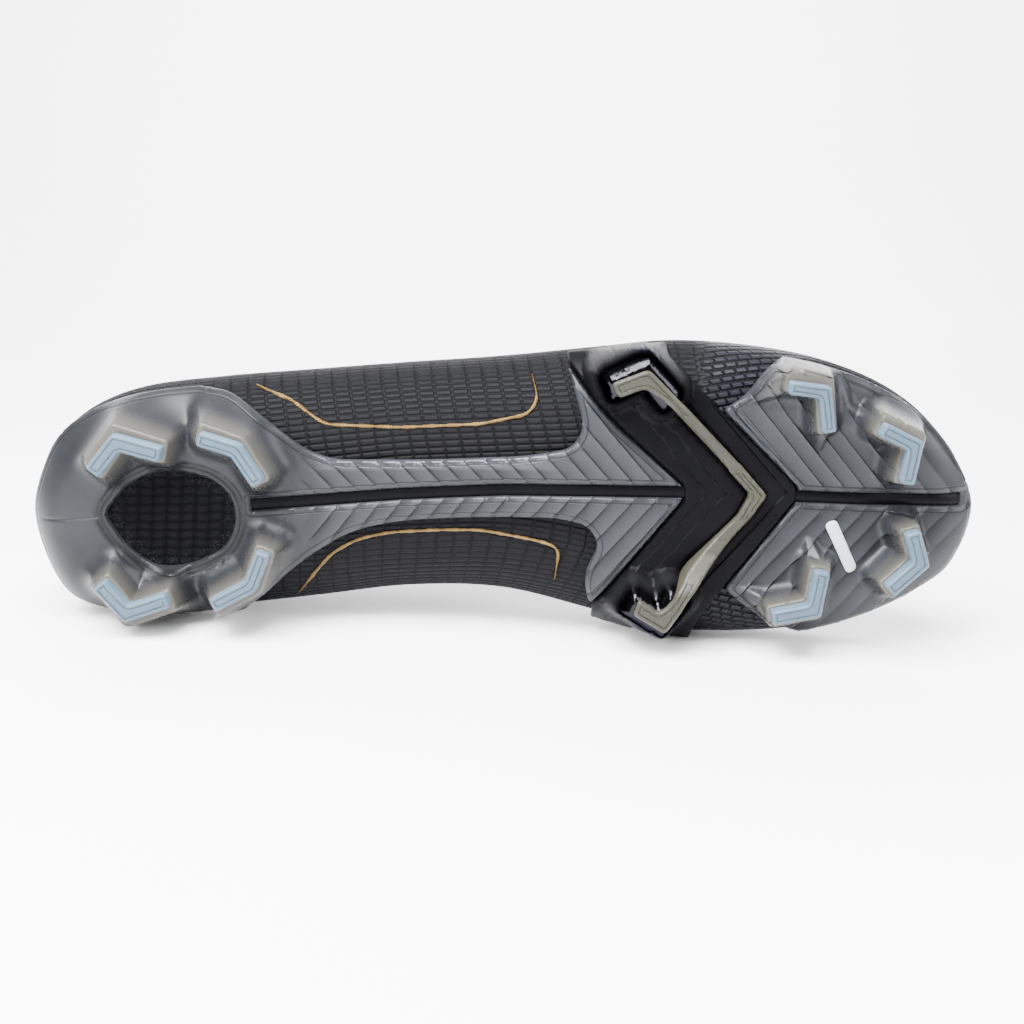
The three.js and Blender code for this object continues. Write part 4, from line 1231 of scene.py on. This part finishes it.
def body_outline(name):
    """Outline of the flat end of a stud's body, a little wider than its tip."""
    line, wider, _, _ = STUDS[name]
    half = TIP_HALF_WIDTH + wider + BODY_LEDGE
    return resample(stud_outline(line, half, half - 0.2), 0.6, True)


def stud_shape(xy, names):
    """How far up a stud body each point is: 1 on its flat end, falling to 0 on the plate."""
    level = np.zeros(len(xy))
    for name in names:
        line, wider, flare, fins = STUDS[name]
        level = np.maximum(level, body_level(signed(xy, body_outline(name)), flare))
        for end, far in fins:
            start = np.array(line[end], float)
            d, along = segment_distance(xy, np.array([start, far]))
            height = (1 - along) ** 1.25 * 0.92
            width = (TIP_HALF_WIDTH + wider + 0.6) * (1 - along) + 0.45 * along
            fall = body_level(d - width, flare * (1 - 0.55 * along) * 0.8)
            level = np.maximum(level, height * fall)
    return level


def body_level(distance, flare):
    """Share of a body's height at a distance outside its flat end, which falls away over flare."""
    t = np.clip(distance / flare, 0, 1)
    level = (1 - t) ** 2.7
    shoulder = np.clip(1 + distance / 0.5, 0, 1)
    return np.where(distance > 0, level * 0.96, 1 - 0.04 * shoulder**2)


def stud_rings(names):
    """Extra points round the studs where their walls are steep."""
    rings = []
    for name in names:
        line, _, _, fins = STUDS[name]
        outline = body_outline(name)
        out = -inward_normals(outline)
        for reach in (-0.4, 0.18, 0.4, 0.7, 1, 1.4, 1.9, 2.5, 3.3, 4.3):
            ring = outline + out * reach
            true, _ = segment_distance(ring, outline, True)
            rings.append(ring[true > abs(reach) - 0.08])
        for end, far in fins:
            spine = resample(np.array([line[end], far], float), 0.6)
            leg = spine[-1] - spine[0]
            side = np.array([-leg[1], leg[0]]) / np.linalg.norm(leg)
            for reach in (-3, -2.2, -1.6, -1.1, -0.7, -0.35, 0, 0.35, 0.7, 1.1, 1.6, 2.2, 3):
                rings.append(spine + side * reach)
    return np.vstack(rings)


def rib_lines(low, high, pitch, reach, drop):
    """Lines along the foot and the crest of each rib, on both sides of the spine."""
    feet = np.arange(math.floor(low / pitch) * pitch, high, pitch)
    return v_lines([foot + shift for foot in feet for shift in (0.0, -drop)], reach)


def rib_relief(xy, pitch, height, drop):
    """Height of the ribs: a slow rise from each foot to its crest, then a steep drop."""
    place = rib_place(xy) / pitch
    part = place - np.floor(place + 1e-6)
    rise = np.minimum(part / (1 - drop / pitch), (1 - part) / (drop / pitch))
    return np.clip(rise, 0, 1) * height


def rim_line(distance):
    """The line a fixed distance inside the widest line."""
    lateral = WIDEST[0][:, :2] + INWARD[0] * distance
    medial = WIDEST[1][1:-1, :2] + INWARD[1][1:-1] * distance
    return resample(np.vstack([lateral, medial[::-1]]), 1.0, True)


def plate_piece(
    name, node, slot, material, outline, holes, grooves, studs, relief, lines, extra, span,
    rim=EDGE_INSET, top=TIP + 0.3,
):
    """A moulded plate on the underside with rounded edges, relief and stud bodies. studs gives how
    far up a stud body a point is, lines and extra points are followed by the mesh, span is its
    reach along x, and top is the height of the bodies' flat ends."""
    edge_round = 0.7
    border = rim_line(rim)
    outline = resample(rounded(outline), 0.9, True)
    holes = [resample(rounded(h), 0.8, True) for h in holes]
    slots = [resample(band(line, GROOVE / 2), 0.9, True) for line in grooves]

    def inside(xy):
        keep = within(xy, outline) & within(xy, border)
        for hole in holes + slots:
            keep &= ~within(xy, hole)
        return keep

    def edge_distance(xy):
        d, _ = segment_distance(xy, outline, True)
        for loop in [border] + holes + slots:
            other, _ = segment_distance(xy, loop, True)
            d = np.minimum(d, other)
        return d

    loose = hex_points((span[0], -50), (span[1], 50), settings().plate_step)
    loose = np.vstack([loose, extra])
    loose = loose[inside(loose)]
    loose = loose[edge_distance(loose) > 0.25]
    shoulders = []
    for loop in [outline, border] + holes + slots:
        n = left_normals(loop)
        for reach in (0.22, 0.5, 0.85):
            shoulders += [loop + n * reach, loop - n * reach]
    shoulders = np.vstack(shoulders)
    shoulders = shoulders[inside(shoulders)]
    shoulders = shoulders[edge_distance(shoulders) > 0.18]
    loose = np.vstack([loose, shoulders])
    follow = [(loop, True) for loop in [outline, border] + holes + slots] + lines

    def front(xy):
        d = edge_distance(xy)
        lack = np.clip(edge_round - d, 0, edge_round)
        drop = edge_round - np.sqrt(edge_round**2 - lack**2)
        shape = on_underside(xy, GAP + PLATE + relief(xy, d) - drop)
        level = studs(xy) * np.sqrt(1 - (1 - np.clip(d / 2, 0, 1)) ** 2)
        shape[:, 2] -= np.maximum(shape[:, 2] - top, 0) * level
        return shape

    def back(xy):
        return on_underside(xy, 0.05)

    obj, xy = region_slab(name, inside, follow, loose, front, back, material, 45)
    give_values(obj, "edge", edge_distance(xy))
    give_values(obj, "stud", studs(xy))
    finish_piece(obj, "shoe", slot, node)
    return obj, xy


def build_plates():
    cfg = settings()
    material = plate_material()
    drop = 0.35  # run of a rib's steep side
    names = list(STUDS)
    rear, front = names[:4], names[4:]
    window = resample(rounded(WINDOW), 0.8, True)
    scoop = resample(rounded(SCOOP), 0.8, True)
    seam = np.array([(6.5, 4.6), (21, 3.4)])

    def rib_mask(xy, d):
        side = np.abs(xy[:, 1] - groove_y(xy[:, 0]))
        return smooth(0.6, 1.8, d) * smooth(2.0, 3.2, side)

    def rear_relief(xy, d):
        mask = rib_mask(xy, d) * smooth(80, 90, xy[:, 0]) * (1 - smooth(190, 193, xy[:, 0]))
        ribs = rib_relief(xy, cfg.rib_pitch, cfg.rib_height, drop) * mask
        away = signed(xy, window)
        ring = -0.55 * (1 - smooth(2.9, 3.5, away))
        line, _ = segment_distance(xy, seam)
        heel = 0.35 * np.clip(1 - (xy[:, 0] - 20) / 60, 0, 1)
        return ribs * (1 - stud_shape(xy, rear)) + ring - 0.3 * (1 - smooth(0.1, 0.45, line)) + heel

    lines = rib_lines(84, 240, cfg.rib_pitch, 42, drop)
    lines += [(body_outline(name), True) for name in rear]
    outward = -inward_normals(window)
    rings = np.vstack([window + outward * reach for reach in (2.9, 3.2, 3.5)])
    seam_points = np.vstack([resample(seam, 0.6) + (0, side) for side in (-0.45, -0.1, 0.1, 0.45)])
    obj, xy = plate_piece(
        "rear_moulding", "rear_plate", "plate", material, REAR_PLATE, [WINDOW], [SPINE_REAR],
        lambda p: stud_shape(p, rear), rear_relief, lines,
        np.vstack([stud_rings(rear), rings, seam_points]), (0, 198),
    )
    # Painted rib shading: each rib's rise from foot to crest, which lightens the plate's colour
    # towards the crest.
    shade = rib_relief(xy, cfg.rib_pitch, 1, drop) * smooth(80, 90, xy[:, 0])
    give_values(obj, "rib", shade * (1 - stud_shape(xy, rear)))
    # Painted shade mask for the lowered band round the heel window.
    give_values(obj, "ring", 1 - smooth(2.9, 3.4, signed(xy, window)))
    waist = smooth(84, 92, xy[:, 0]) * (1 - smooth(150, 160, xy[:, 0])) * (xy[:, 1] < -10.6)
    give_values(obj, "resin", waist)

    ledge_steps = (230.6, 231, 232, 232.4)  # foot and crest of each of the ledge's two sides

    def front_relief(xy, d):
        mask = rib_mask(xy, d) * smooth(231, 236, rib_place(xy))
        ribs = rib_relief(xy, cfg.rib_pitch, cfg.rib_height * 1.1, drop) * mask
        up, down = (smooth(*pair, rib_place(xy)) for pair in (ledge_steps[:2], ledge_steps[2:]))
        ledge = 0.35 * (up - down)
        dish = signed(xy, scoop)
        hollow = -1.3 * (1 - smooth(-2.6, 0.3, dish))
        return ribs * (1 - stud_shape(xy, front)) * smooth(0, 1, dish) + hollow + ledge

    lines = rib_lines(236, 330, cfg.rib_pitch, 44, drop)
    lines += [(body_outline(name), True) for name in front]
    lines += v_lines(ledge_steps, 44)
    inner = np.vstack([scoop * (1 - k) + scoop.mean(0) * k for k in (0.05, 0.2, 0.4)])
    obj, xy = plate_piece(
        "front_moulding", "front_plate", "plate", material, FRONT_PLATE, [], [SPINE_FRONT],
        lambda p: stud_shape(p, front), front_relief, lines,
        np.vstack([stud_rings(front), inner, scoop]), (200, 290),
    )
    # Painted rib shading: each rib's rise from foot to crest, which lightens the plate's colour
    # towards the crest.
    shade = rib_relief(xy, cfg.rib_pitch, 1, drop) * (1 - stud_shape(xy, front))
    give_values(obj, "rib", shade)
    # Painted shade mask for the scoop's hollow.
    give_values(obj, "ring", (1 - smooth(-2, 0.2, signed(xy, scoop))) * 0.8)
    give_values(obj, "resin", np.zeros(len(xy)))


def ball_outline(line):
    half = TIP_HALF_WIDTH + 0.9
    return stud_outline(line, half, half)


def ball_shape(xy):
    """How far up a ball stud's domed body each point is."""
    level = np.zeros(len(xy))
    for line in BALL_STUDS:
        d = signed(xy, ball_outline(line))
        dome = (1 - np.clip((d + 1.2) / 6.8, 0, 1) ** 1.7) ** 1.5
        level = np.maximum(level, dome)
    return level


def build_spine():
    material = gloss_material()
    steps = ((201.7, 0.55), (207.2, 0.55), (219.5, -1.3), (225.2, 0.75))  # place, rise
    step_run = 0.5
    chevron = resample(rounded(CHEVRON), 0.8, True)

    def relief(xy, d):
        side = np.abs(xy[:, 1] - BRIDGE_MIDDLE)
        at = xy[:, 0] + V_SLOPE * side
        level = sum(height * smooth(place, place + step_run, at) for place, height in steps)
        bed = -0.9 * (1 - smooth(0.1, 0.9, signed(xy, chevron)))
        fade = 1 - smooth(16, 30, side) * 0.6
        return level * fade + bed

    places = [place + shift for place, _ in steps for shift in (0, step_run)]
    lines = v_lines(places, 40, 1.5, BRIDGE_MIDDLE) + [(chevron, True)]
    rings = []
    for line in BALL_STUDS:
        base = resample(ball_outline(line), 0.75, True)
        middle = base.mean(0)
        for grow in (0.9, 1.0, 1.05, 1.1, 1.16, 1.24, 1.34, 1.46, 1.6, 1.8):
            rings.append(middle + (base - middle) * grow)
    obj, xy = plate_piece(
        "v_bridge", "spine_plate", "gloss_black", material, V_PLATE, [], [], ball_shape, relief,
        lines, np.vstack(rings), (155, 232), rim=EDGE_INSET - 1.2, top=BALL_BODY_END,
    )
    give_values(obj, "flat", 1 - ball_shape(xy))

    for name, line in (("spine_bar_rear", SPINE_REAR), ("spine_bar_front", SPINE_FRONT)):
        half = GROOVE / 2 - 0.25
        loop = resample(rounded([(x, y, 1.2) for x, y in band(line, half, 0)]), 0.8, True)
        path = resample(np.array(line), 1.2)
        loose = np.vstack([path + (0, side) for side in (-0.9, -0.45, 0, 0.45, 0.9)])

        def face(xy, path=path, half=half):
            d, _ = segment_distance(xy, path)
            return on_underside(xy, GAP + PLATE - 0.75 - 0.35 * (d / half) ** 2)

        bar, xy = region_slab(
            name, lambda p, loop=loop: within(p, loop), [(loop, True)],
            loose[within(loose, loop)], face, lambda p: on_underside(p, 0.05), material, 50,
        )
        give_values(bar, "flat", np.ones(len(xy)))
        finish_piece(bar, "shoe", "gloss_black")


def build_chevron():
    material = moulded_material("olive_moulding", tuple(settings().olive_colour), 0.34)
    loop = resample(rounded(CHEVRON), 0.7, True)

    def pad(xy):
        """1 where the chevron widens to a pad: at its point and on the ball studs."""
        side = np.abs(xy[:, 1] - BRIDGE_MIDDLE)
        return np.maximum(1 - smooth(6.6, 7.6, side), smooth(24, 26, side))

    def face(xy):
        d, _ = segment_distance(xy, loop, True)
        z = np.interp(xy[:, 1], CHEVRON_FACE[:, 0], CHEVRON_FACE[:, 1])
        lack = np.clip(0.6 - d, 0, 0.6)
        round_off = 0.6 - np.sqrt(0.36 - lack**2)
        groove = 0.22 * smooth(0.12, 0.0, np.abs(d - 1.35) - 0.1) * pad(xy)
        z = z + round_off + groove + 0.5 * (1 - pad(xy)) * smooth(0, 4, z)
        return np.column_stack([xy, z])

    def back(xy):
        z = np.interp(xy[:, 1], CHEVRON_FACE[:, 0], CHEVRON_FACE[:, 1])
        return np.column_stack([xy, np.maximum(z + 2.5, underside(xy)[0] - 1.2)])

    loose = hex_points((170, -45), (221, 38), 0.8)
    rings = inner_rings(loop, (0.12, 0.3, 0.6, 1.15, 1.25, 1.45, 1.55))
    loose = np.vstack([loose[within(loose, loop)], *rings])
    obj, xy = region_slab(
        "olive_chevron", lambda p: within(p, loop), [(loop, True)], loose, face, back, material, 45,
    )
    d, _ = segment_distance(xy, loop, True)
    give_values(obj, "edge", np.where(pad(xy) > 0.5, d, np.minimum(d, 1.0)))
    finish_piece(obj, "shoe", "olive", "traction_chevron")


def build_tips():
    material = moulded_material("milky_tip", tuple(settings().tip_colour), 0.28, 0.35)
    for name, (line, wider, _, _) in STUDS.items():
        half = TIP_HALF_WIDTH + wider
        loop = resample(stud_outline(line, half, half - 0.2), 0.5, True)

        def face(xy, loop=loop):
            d, _ = segment_distance(xy, loop, True)
            lack = np.clip(0.7 - d, 0, 0.7)
            z = 0.7 - np.sqrt(0.49 - lack**2)
            return np.column_stack([xy, z + 0.2 * smooth(0.14, 0.0, np.abs(d - 1.2) - 0.08)])

        rings = inner_rings(loop, (0.1, 0.25, 0.45, 0.7, 1.0, 1.12, 1.28, 1.4, 1.7))
        obj, xy = region_slab(
            name.replace("tip_", "stud_"), lambda p, loop=loop: within(p, loop), [(loop, True)],
            np.vstack(rings), face, lambda p: np.column_stack([p, np.full(len(p), TIP + 0.25)]),
            material, 50,
        )
        d, _ = segment_distance(xy, loop, True)
        give_values(obj, "edge", d)
        finish_piece(obj, "shoe", "tip_blue", name)


def build_badge():
    material = plain_material("badge_white", (0.33, 0.34, 0.36), 0.35)
    loop = resample(rounded(BADGE, 8), 0.4, True)

    def face(xy):
        d, _ = segment_distance(xy, loop, True)
        return on_underside(xy, GAP + PLATE + 1.0 + 0.35 * np.sqrt(np.clip(d / 0.5, 0, 1)))

    loose = hex_points((236, 3), (249, 22), 0.6)
    obj, _ = region_slab(
        "blank_pill", lambda p: within(p, loop), [(loop, True)], loose[within(loose, loop)], face,
        lambda p: on_underside(p, GAP + PLATE - 0.2), material, 50,
    )
    finish_piece(obj, "shoe", "badge", "blank_badge")


def build_window_knit():
    """The knit that shows in the heel window, with its loops and stray fibres."""
    material = coarse_knit_material()
    loop = resample(rounded(WINDOW), 0.6, True)
    middle = loop.mean(0)
    outline = middle + (loop - middle) * 1.05

    def loops(xy):
        across = np.abs(np.sin((xy[:, 0] + 0.1 * xy[:, 1]) * math.pi / 4.2)) ** 0.4
        up = np.abs(np.sin((xy[:, 1] + 0.2 * np.sin(xy[:, 0] * 0.8)) * math.pi / 2.7)) ** 0.5
        return across * up

    def face(xy):
        d = -signed(xy, loop)
        tuck = 0.25 * (1 - smooth(0, 2.2, d))
        return on_underside(xy, 0.12 + 0.42 * loops(xy) + tuck)

    loose = hex_points((20, -13), (66, 22), 0.42)
    obj, xy = region_slab(
        "window_fabric", lambda p: within(p, outline), [(outline, True)],
        loose[within(loose, outline)], face, lambda p: on_underside(p, 0.02), material, 80,
    )
    give_values(obj, "loop", loops(xy))
    give_values(obj, "rim", 1 - smooth(0.5, 4.5, -signed(xy, loop)))
    finish_piece(obj, "shoe", "knit")

    rng = np.random.default_rng(7)
    fibre = plain_material("stray_fibre", (0.012, 0.012, 0.014), 0.35)
    tubes = []
    for _ in range(120):
        k = rng.integers(len(loop))
        start = middle + (loop[k] - middle) * rng.uniform(0.86, 0.99)
        turn = rng.uniform(0, 2 * math.pi)
        bend = rng.uniform(-2.0, 2.0)
        length = rng.uniform(0.8, 2.6)
        t = np.linspace(0, 1, 6)
        angle = turn + bend * t
        xy = start + np.cumsum(
            np.column_stack([np.cos(angle), np.sin(angle)]) * length / 6, axis=0
        )
        lift = 0.55 + rng.uniform(0.2, 1.1) * np.sin(t * math.pi)
        tubes.append(tube("fibre", on_underside(xy, lift), 0.04, fibre, 4))
    bpy.ops.object.select_all(action="DESELECT")
    for obj in tubes:
        obj.select_set(True)
    bpy.context.view_layer.objects.active = tubes[0]
    bpy.ops.object.join()
    tubes[0].name = "window_fibres"
    finish_piece(tubes[0], "shoe", "knit")


def build_gold():
    material = gold_material()
    steps = 8  # points round each bend
    for name, line, node in (
        ("gold_thread_lateral", GOLD_LATERAL, "gold_line_lateral"),
        ("gold_thread_medial", GOLD_MEDIAL, "gold_line_medial"),
    ):
        soft = rounded([(x, y, 3.2) for x, y in line], steps)
        first = np.linalg.norm(soft - line[0], axis=1).argmin() + steps
        path = resample(np.vstack([line[0], soft[first:1 - steps], line[-1]]), 0.5)
        t = np.linspace(0, 1, len(path))
        wobble = 0.08 * np.sin(t * 90) + 0.05 * np.sin(t * 231)
        width = (0.46 + wobble) * np.clip(np.minimum(t, 1 - t) * 9 + 0.25, 0, 1)
        obj = flat_thread(name, path, width, material)
        finish_piece(obj, "shoe", "gold", node)


def flat_thread(name, path, width, material):
    """A low domed ribbon of changing width that lies on the underside."""
    step = np.gradient(path, axis=0)
    side = np.column_stack([-step[:, 1], step[:, 0]])
    side /= np.linalg.norm(side, axis=1)[:, None]
    across = np.linspace(-1, 1, 7)
    lanes = [path + side * (width * a)[:, None] for a in across]
    top = np.array([on_underside(p, 0.12 + 0.42 * (1 - a * a)) for p, a in zip(lanes, across)])
    low = np.array([on_underside(lane, 0.02) for lane in lanes])
    return grid_slab(name, top, low, False, material, fabric_uv(top, 0), 60)


# ---------------------------------------------------------------- stage, light and camera
def build_stage():
    """A pale sheet that the shoe's medial side lies on, swept up behind it; it is clear from
    behind. The shoe's sole faces the camera."""
    rest_heel = np.array([25.0, 37.4])
    rest_ball = np.array([205.0, 44.6])
    along = rest_ball - rest_heel
    along /= np.linalg.norm(along)
    out = np.array([-along[1], along[0]])
    middle = rest_heel + (rest_ball - rest_heel) * 0.5
    profile = [(z, 0.0) for z in np.linspace(-1400, 500, 20)]
    profile += [
        (500 + 320 * math.sin(a), 320 * (1 - math.cos(a)))
        for a in np.linspace(0, math.pi / 2, 12)[1:]
    ]
    profile += [(820, y) for y in np.linspace(400, 1600, 8)]
    xs = np.linspace(-1500, 1500, 16)
    points = []
    for z, lift in profile:
        for x in xs:
            spot = middle + along * x - out * lift
            points.append((spot[0], spot[1], z))
    count = len(xs)
    faces = []
    for r in range(len(profile) - 1):
        for c in range(count - 1):
            a = r * count + c
            faces.append((a, a + 1, a + count + 1, a + count))
    sheet = new_object("sheet_backdrop", points, faces, stage_material())
    sheet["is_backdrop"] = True

    world = bpy.data.worlds.new("studio")
    bpy.context.scene.world = world
    world.use_nodes = True
    sky = world.node_tree.nodes["Background"]
    sky.inputs["Color"].default_value = (0.93, 0.95, 1, 1)
    sky.inputs["Strength"].default_value = 0.5

    centre = Vector(((142 + SHIFT[0]) * MM, 0, 20 * MM))
    for name, offset, size, power in (
        ("overhead", (-0.15, -0.75, -0.3), (0.9, 0.5), 76),
        ("front_strip", (-0.5, -0.45, -0.75), (0.25, 0.7), 16),
        ("side_fill", (0.75, -0.35, -0.35), (0.5, 0.5), 14),
        ("glint_strip", (-0.3, -0.62, -0.42), (0.03, 0.5), 11),
        ("top_fill", (0.1, -0.5, 0.75), (0.8, 0.6), 24),
    ):
        bpy.ops.object.select_all(action="DESELECT")
        bpy.ops.object.light_add(type="AREA", location=centre + Vector(offset))
        light = bpy.context.object
        light.name = name
        light.data.shape = "RECTANGLE"
        light.data.size, light.data.size_y = size
        light.data.energy = power
        light.visible_glossy = name != "top_fill"
        light.rotation_euler = (-Vector(offset)).to_track_quat("-Z", "Y").to_euler()

    look = Vector((0, math.sin(CAMERA_TILT), math.cos(CAMERA_TILT)))
    up = Vector((0, -math.cos(CAMERA_TILT), math.sin(CAMERA_TILT)))
    right = Vector((1, 0, 0))
    bpy.ops.object.select_all(action="DESELECT")
    bpy.ops.object.camera_add(location=(CAMERA_SPOT + SHIFT) * MM)
    camera = bpy.context.object
    camera.rotation_euler = Matrix((right, up, -look)).transposed().to_euler()
    camera.data.lens = 50
    camera.data.sensor_width = 36
    bpy.context.scene.camera = camera


def finish_cad_nodes():
    """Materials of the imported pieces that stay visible."""
    board = plain_material("board_fibre", (0.03, 0.03, 0.034), 0.7)
    aglet = plain_material("aglet_gloss", (0.004, 0.004, 0.0045), 0.15)
    for name, look in (
        ("heel_counter", board), ("toe_puff", board), ("strobel_board", board),
        ("aglet_a", aglet), ("aglet_b", aglet),
    ):
        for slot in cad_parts[name].material_slots:
            slot.material = look


# ---------------------------------------------------------------- operators
class CLEAT_OT_upper(Operator):
    """Knitted upper and padded collar"""

    bl_idname = "cleat.upper"
    bl_label = "Upper"

    def execute(self, context):
        build_upper()
        return {"FINISHED"}


class CLEAT_OT_inside(Operator):
    """Lining and insole"""

    bl_idname = "cleat.inside"
    bl_label = "Inside"

    def execute(self, context):
        build_inside()
        return {"FINISHED"}


class CLEAT_OT_tongue(Operator):
    """Tongue and its free end"""

    bl_idname = "cleat.tongue"
    bl_label = "Tongue"

    def execute(self, context):
        build_tongue()
        return {"FINISHED"}


class CLEAT_OT_lacing(Operator):
    """Lace, eyestays and eyelets"""

    bl_idname = "cleat.lacing"
    bl_label = "Lacing"

    def execute(self, context):
        build_lacing()
        return {"FINISHED"}


class CLEAT_OT_plates(Operator):
    """Rear and front plates with their stud bodies"""

    bl_idname = "cleat.plates"
    bl_label = "Plates"

    def execute(self, context):
        build_plates()
        return {"FINISHED"}


class CLEAT_OT_spine(Operator):
    """Black V bridge and spine bars"""

    bl_idname = "cleat.spine"
    bl_label = "Spine"

    def execute(self, context):
        build_spine()
        return {"FINISHED"}


class CLEAT_OT_chevron(Operator):
    """Olive traction chevron"""

    bl_idname = "cleat.chevron"
    bl_label = "Chevron"

    def execute(self, context):
        build_chevron()
        return {"FINISHED"}


class CLEAT_OT_tips(Operator):
    """Blue stud tips"""

    bl_idname = "cleat.tips"
    bl_label = "Tips"

    def execute(self, context):
        build_tips()
        return {"FINISHED"}


class CLEAT_OT_badge(Operator):
    """Blank badge"""

    bl_idname = "cleat.badge"
    bl_label = "Badge"

    def execute(self, context):
        build_badge()
        return {"FINISHED"}


class CLEAT_OT_window_knit(Operator):
    """Knit and stray fibres in the heel window"""

    bl_idname = "cleat.window_knit"
    bl_label = "Window knit"

    def execute(self, context):
        build_window_knit()
        return {"FINISHED"}


class CLEAT_OT_gold(Operator):
    """Gold thread lines"""

    bl_idname = "cleat.gold"
    bl_label = "Gold lines"

    def execute(self, context):
        build_gold()
        return {"FINISHED"}


class CLEAT_OT_inner_pieces(Operator):
    """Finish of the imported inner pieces"""

    bl_idname = "cleat.inner_pieces"
    bl_label = "Inner pieces"

    def execute(self, context):
        finish_cad_nodes()
        return {"FINISHED"}


class CLEAT_OT_stage(Operator):
    """Sheet, lights and camera"""

    bl_idname = "cleat.stage"
    bl_label = "Stage"

    def execute(self, context):
        build_stage()
        return {"FINISHED"}


STEPS = (
    CLEAT_OT_upper,
    CLEAT_OT_inside,
    CLEAT_OT_tongue,
    CLEAT_OT_lacing,
    CLEAT_OT_plates,
    CLEAT_OT_spine,
    CLEAT_OT_chevron,
    CLEAT_OT_tips,
    CLEAT_OT_badge,
    CLEAT_OT_window_knit,
    CLEAT_OT_gold,
    CLEAT_OT_inner_pieces,
    CLEAT_OT_stage,
)


class CLEAT_PT_panel(Panel):
    """Sizes, colours and building steps of the cleat"""

    bl_label = "Soccer cleat"
    bl_space_type = "VIEW_3D"
    bl_region_type = "UI"
    bl_category = "Cleat"

    def draw(self, context):
        column = self.layout.column(align=True)
        for name in CleatSettings.__annotations__:
            column.prop(context.scene.cleat, name)
        for step in STEPS:
            column.operator(step.bl_idname)


CLASSES = (CleatSettings, *STEPS, CLEAT_PT_panel)


def register():
    for cls in CLASSES:
        bpy.utils.register_class(cls)
    bpy.types.Scene.cleat = PointerProperty(type=CleatSettings)


def unregister():
    del bpy.types.Scene.cleat
    for cls in reversed(CLASSES):
        bpy.utils.unregister_class(cls)


def corners(box):
    """A box's two corners as plain numbers."""
    return [[float(v) for v in corner] for corner in box]


def main():
    register()
    for step in STEPS:
        group, name = step.bl_idname.split(".")
        getattr(getattr(bpy.ops, group), name)()
    {"cad": corners(START), "visual": corners(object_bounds())}


if __name__ == "__main__":
    main()
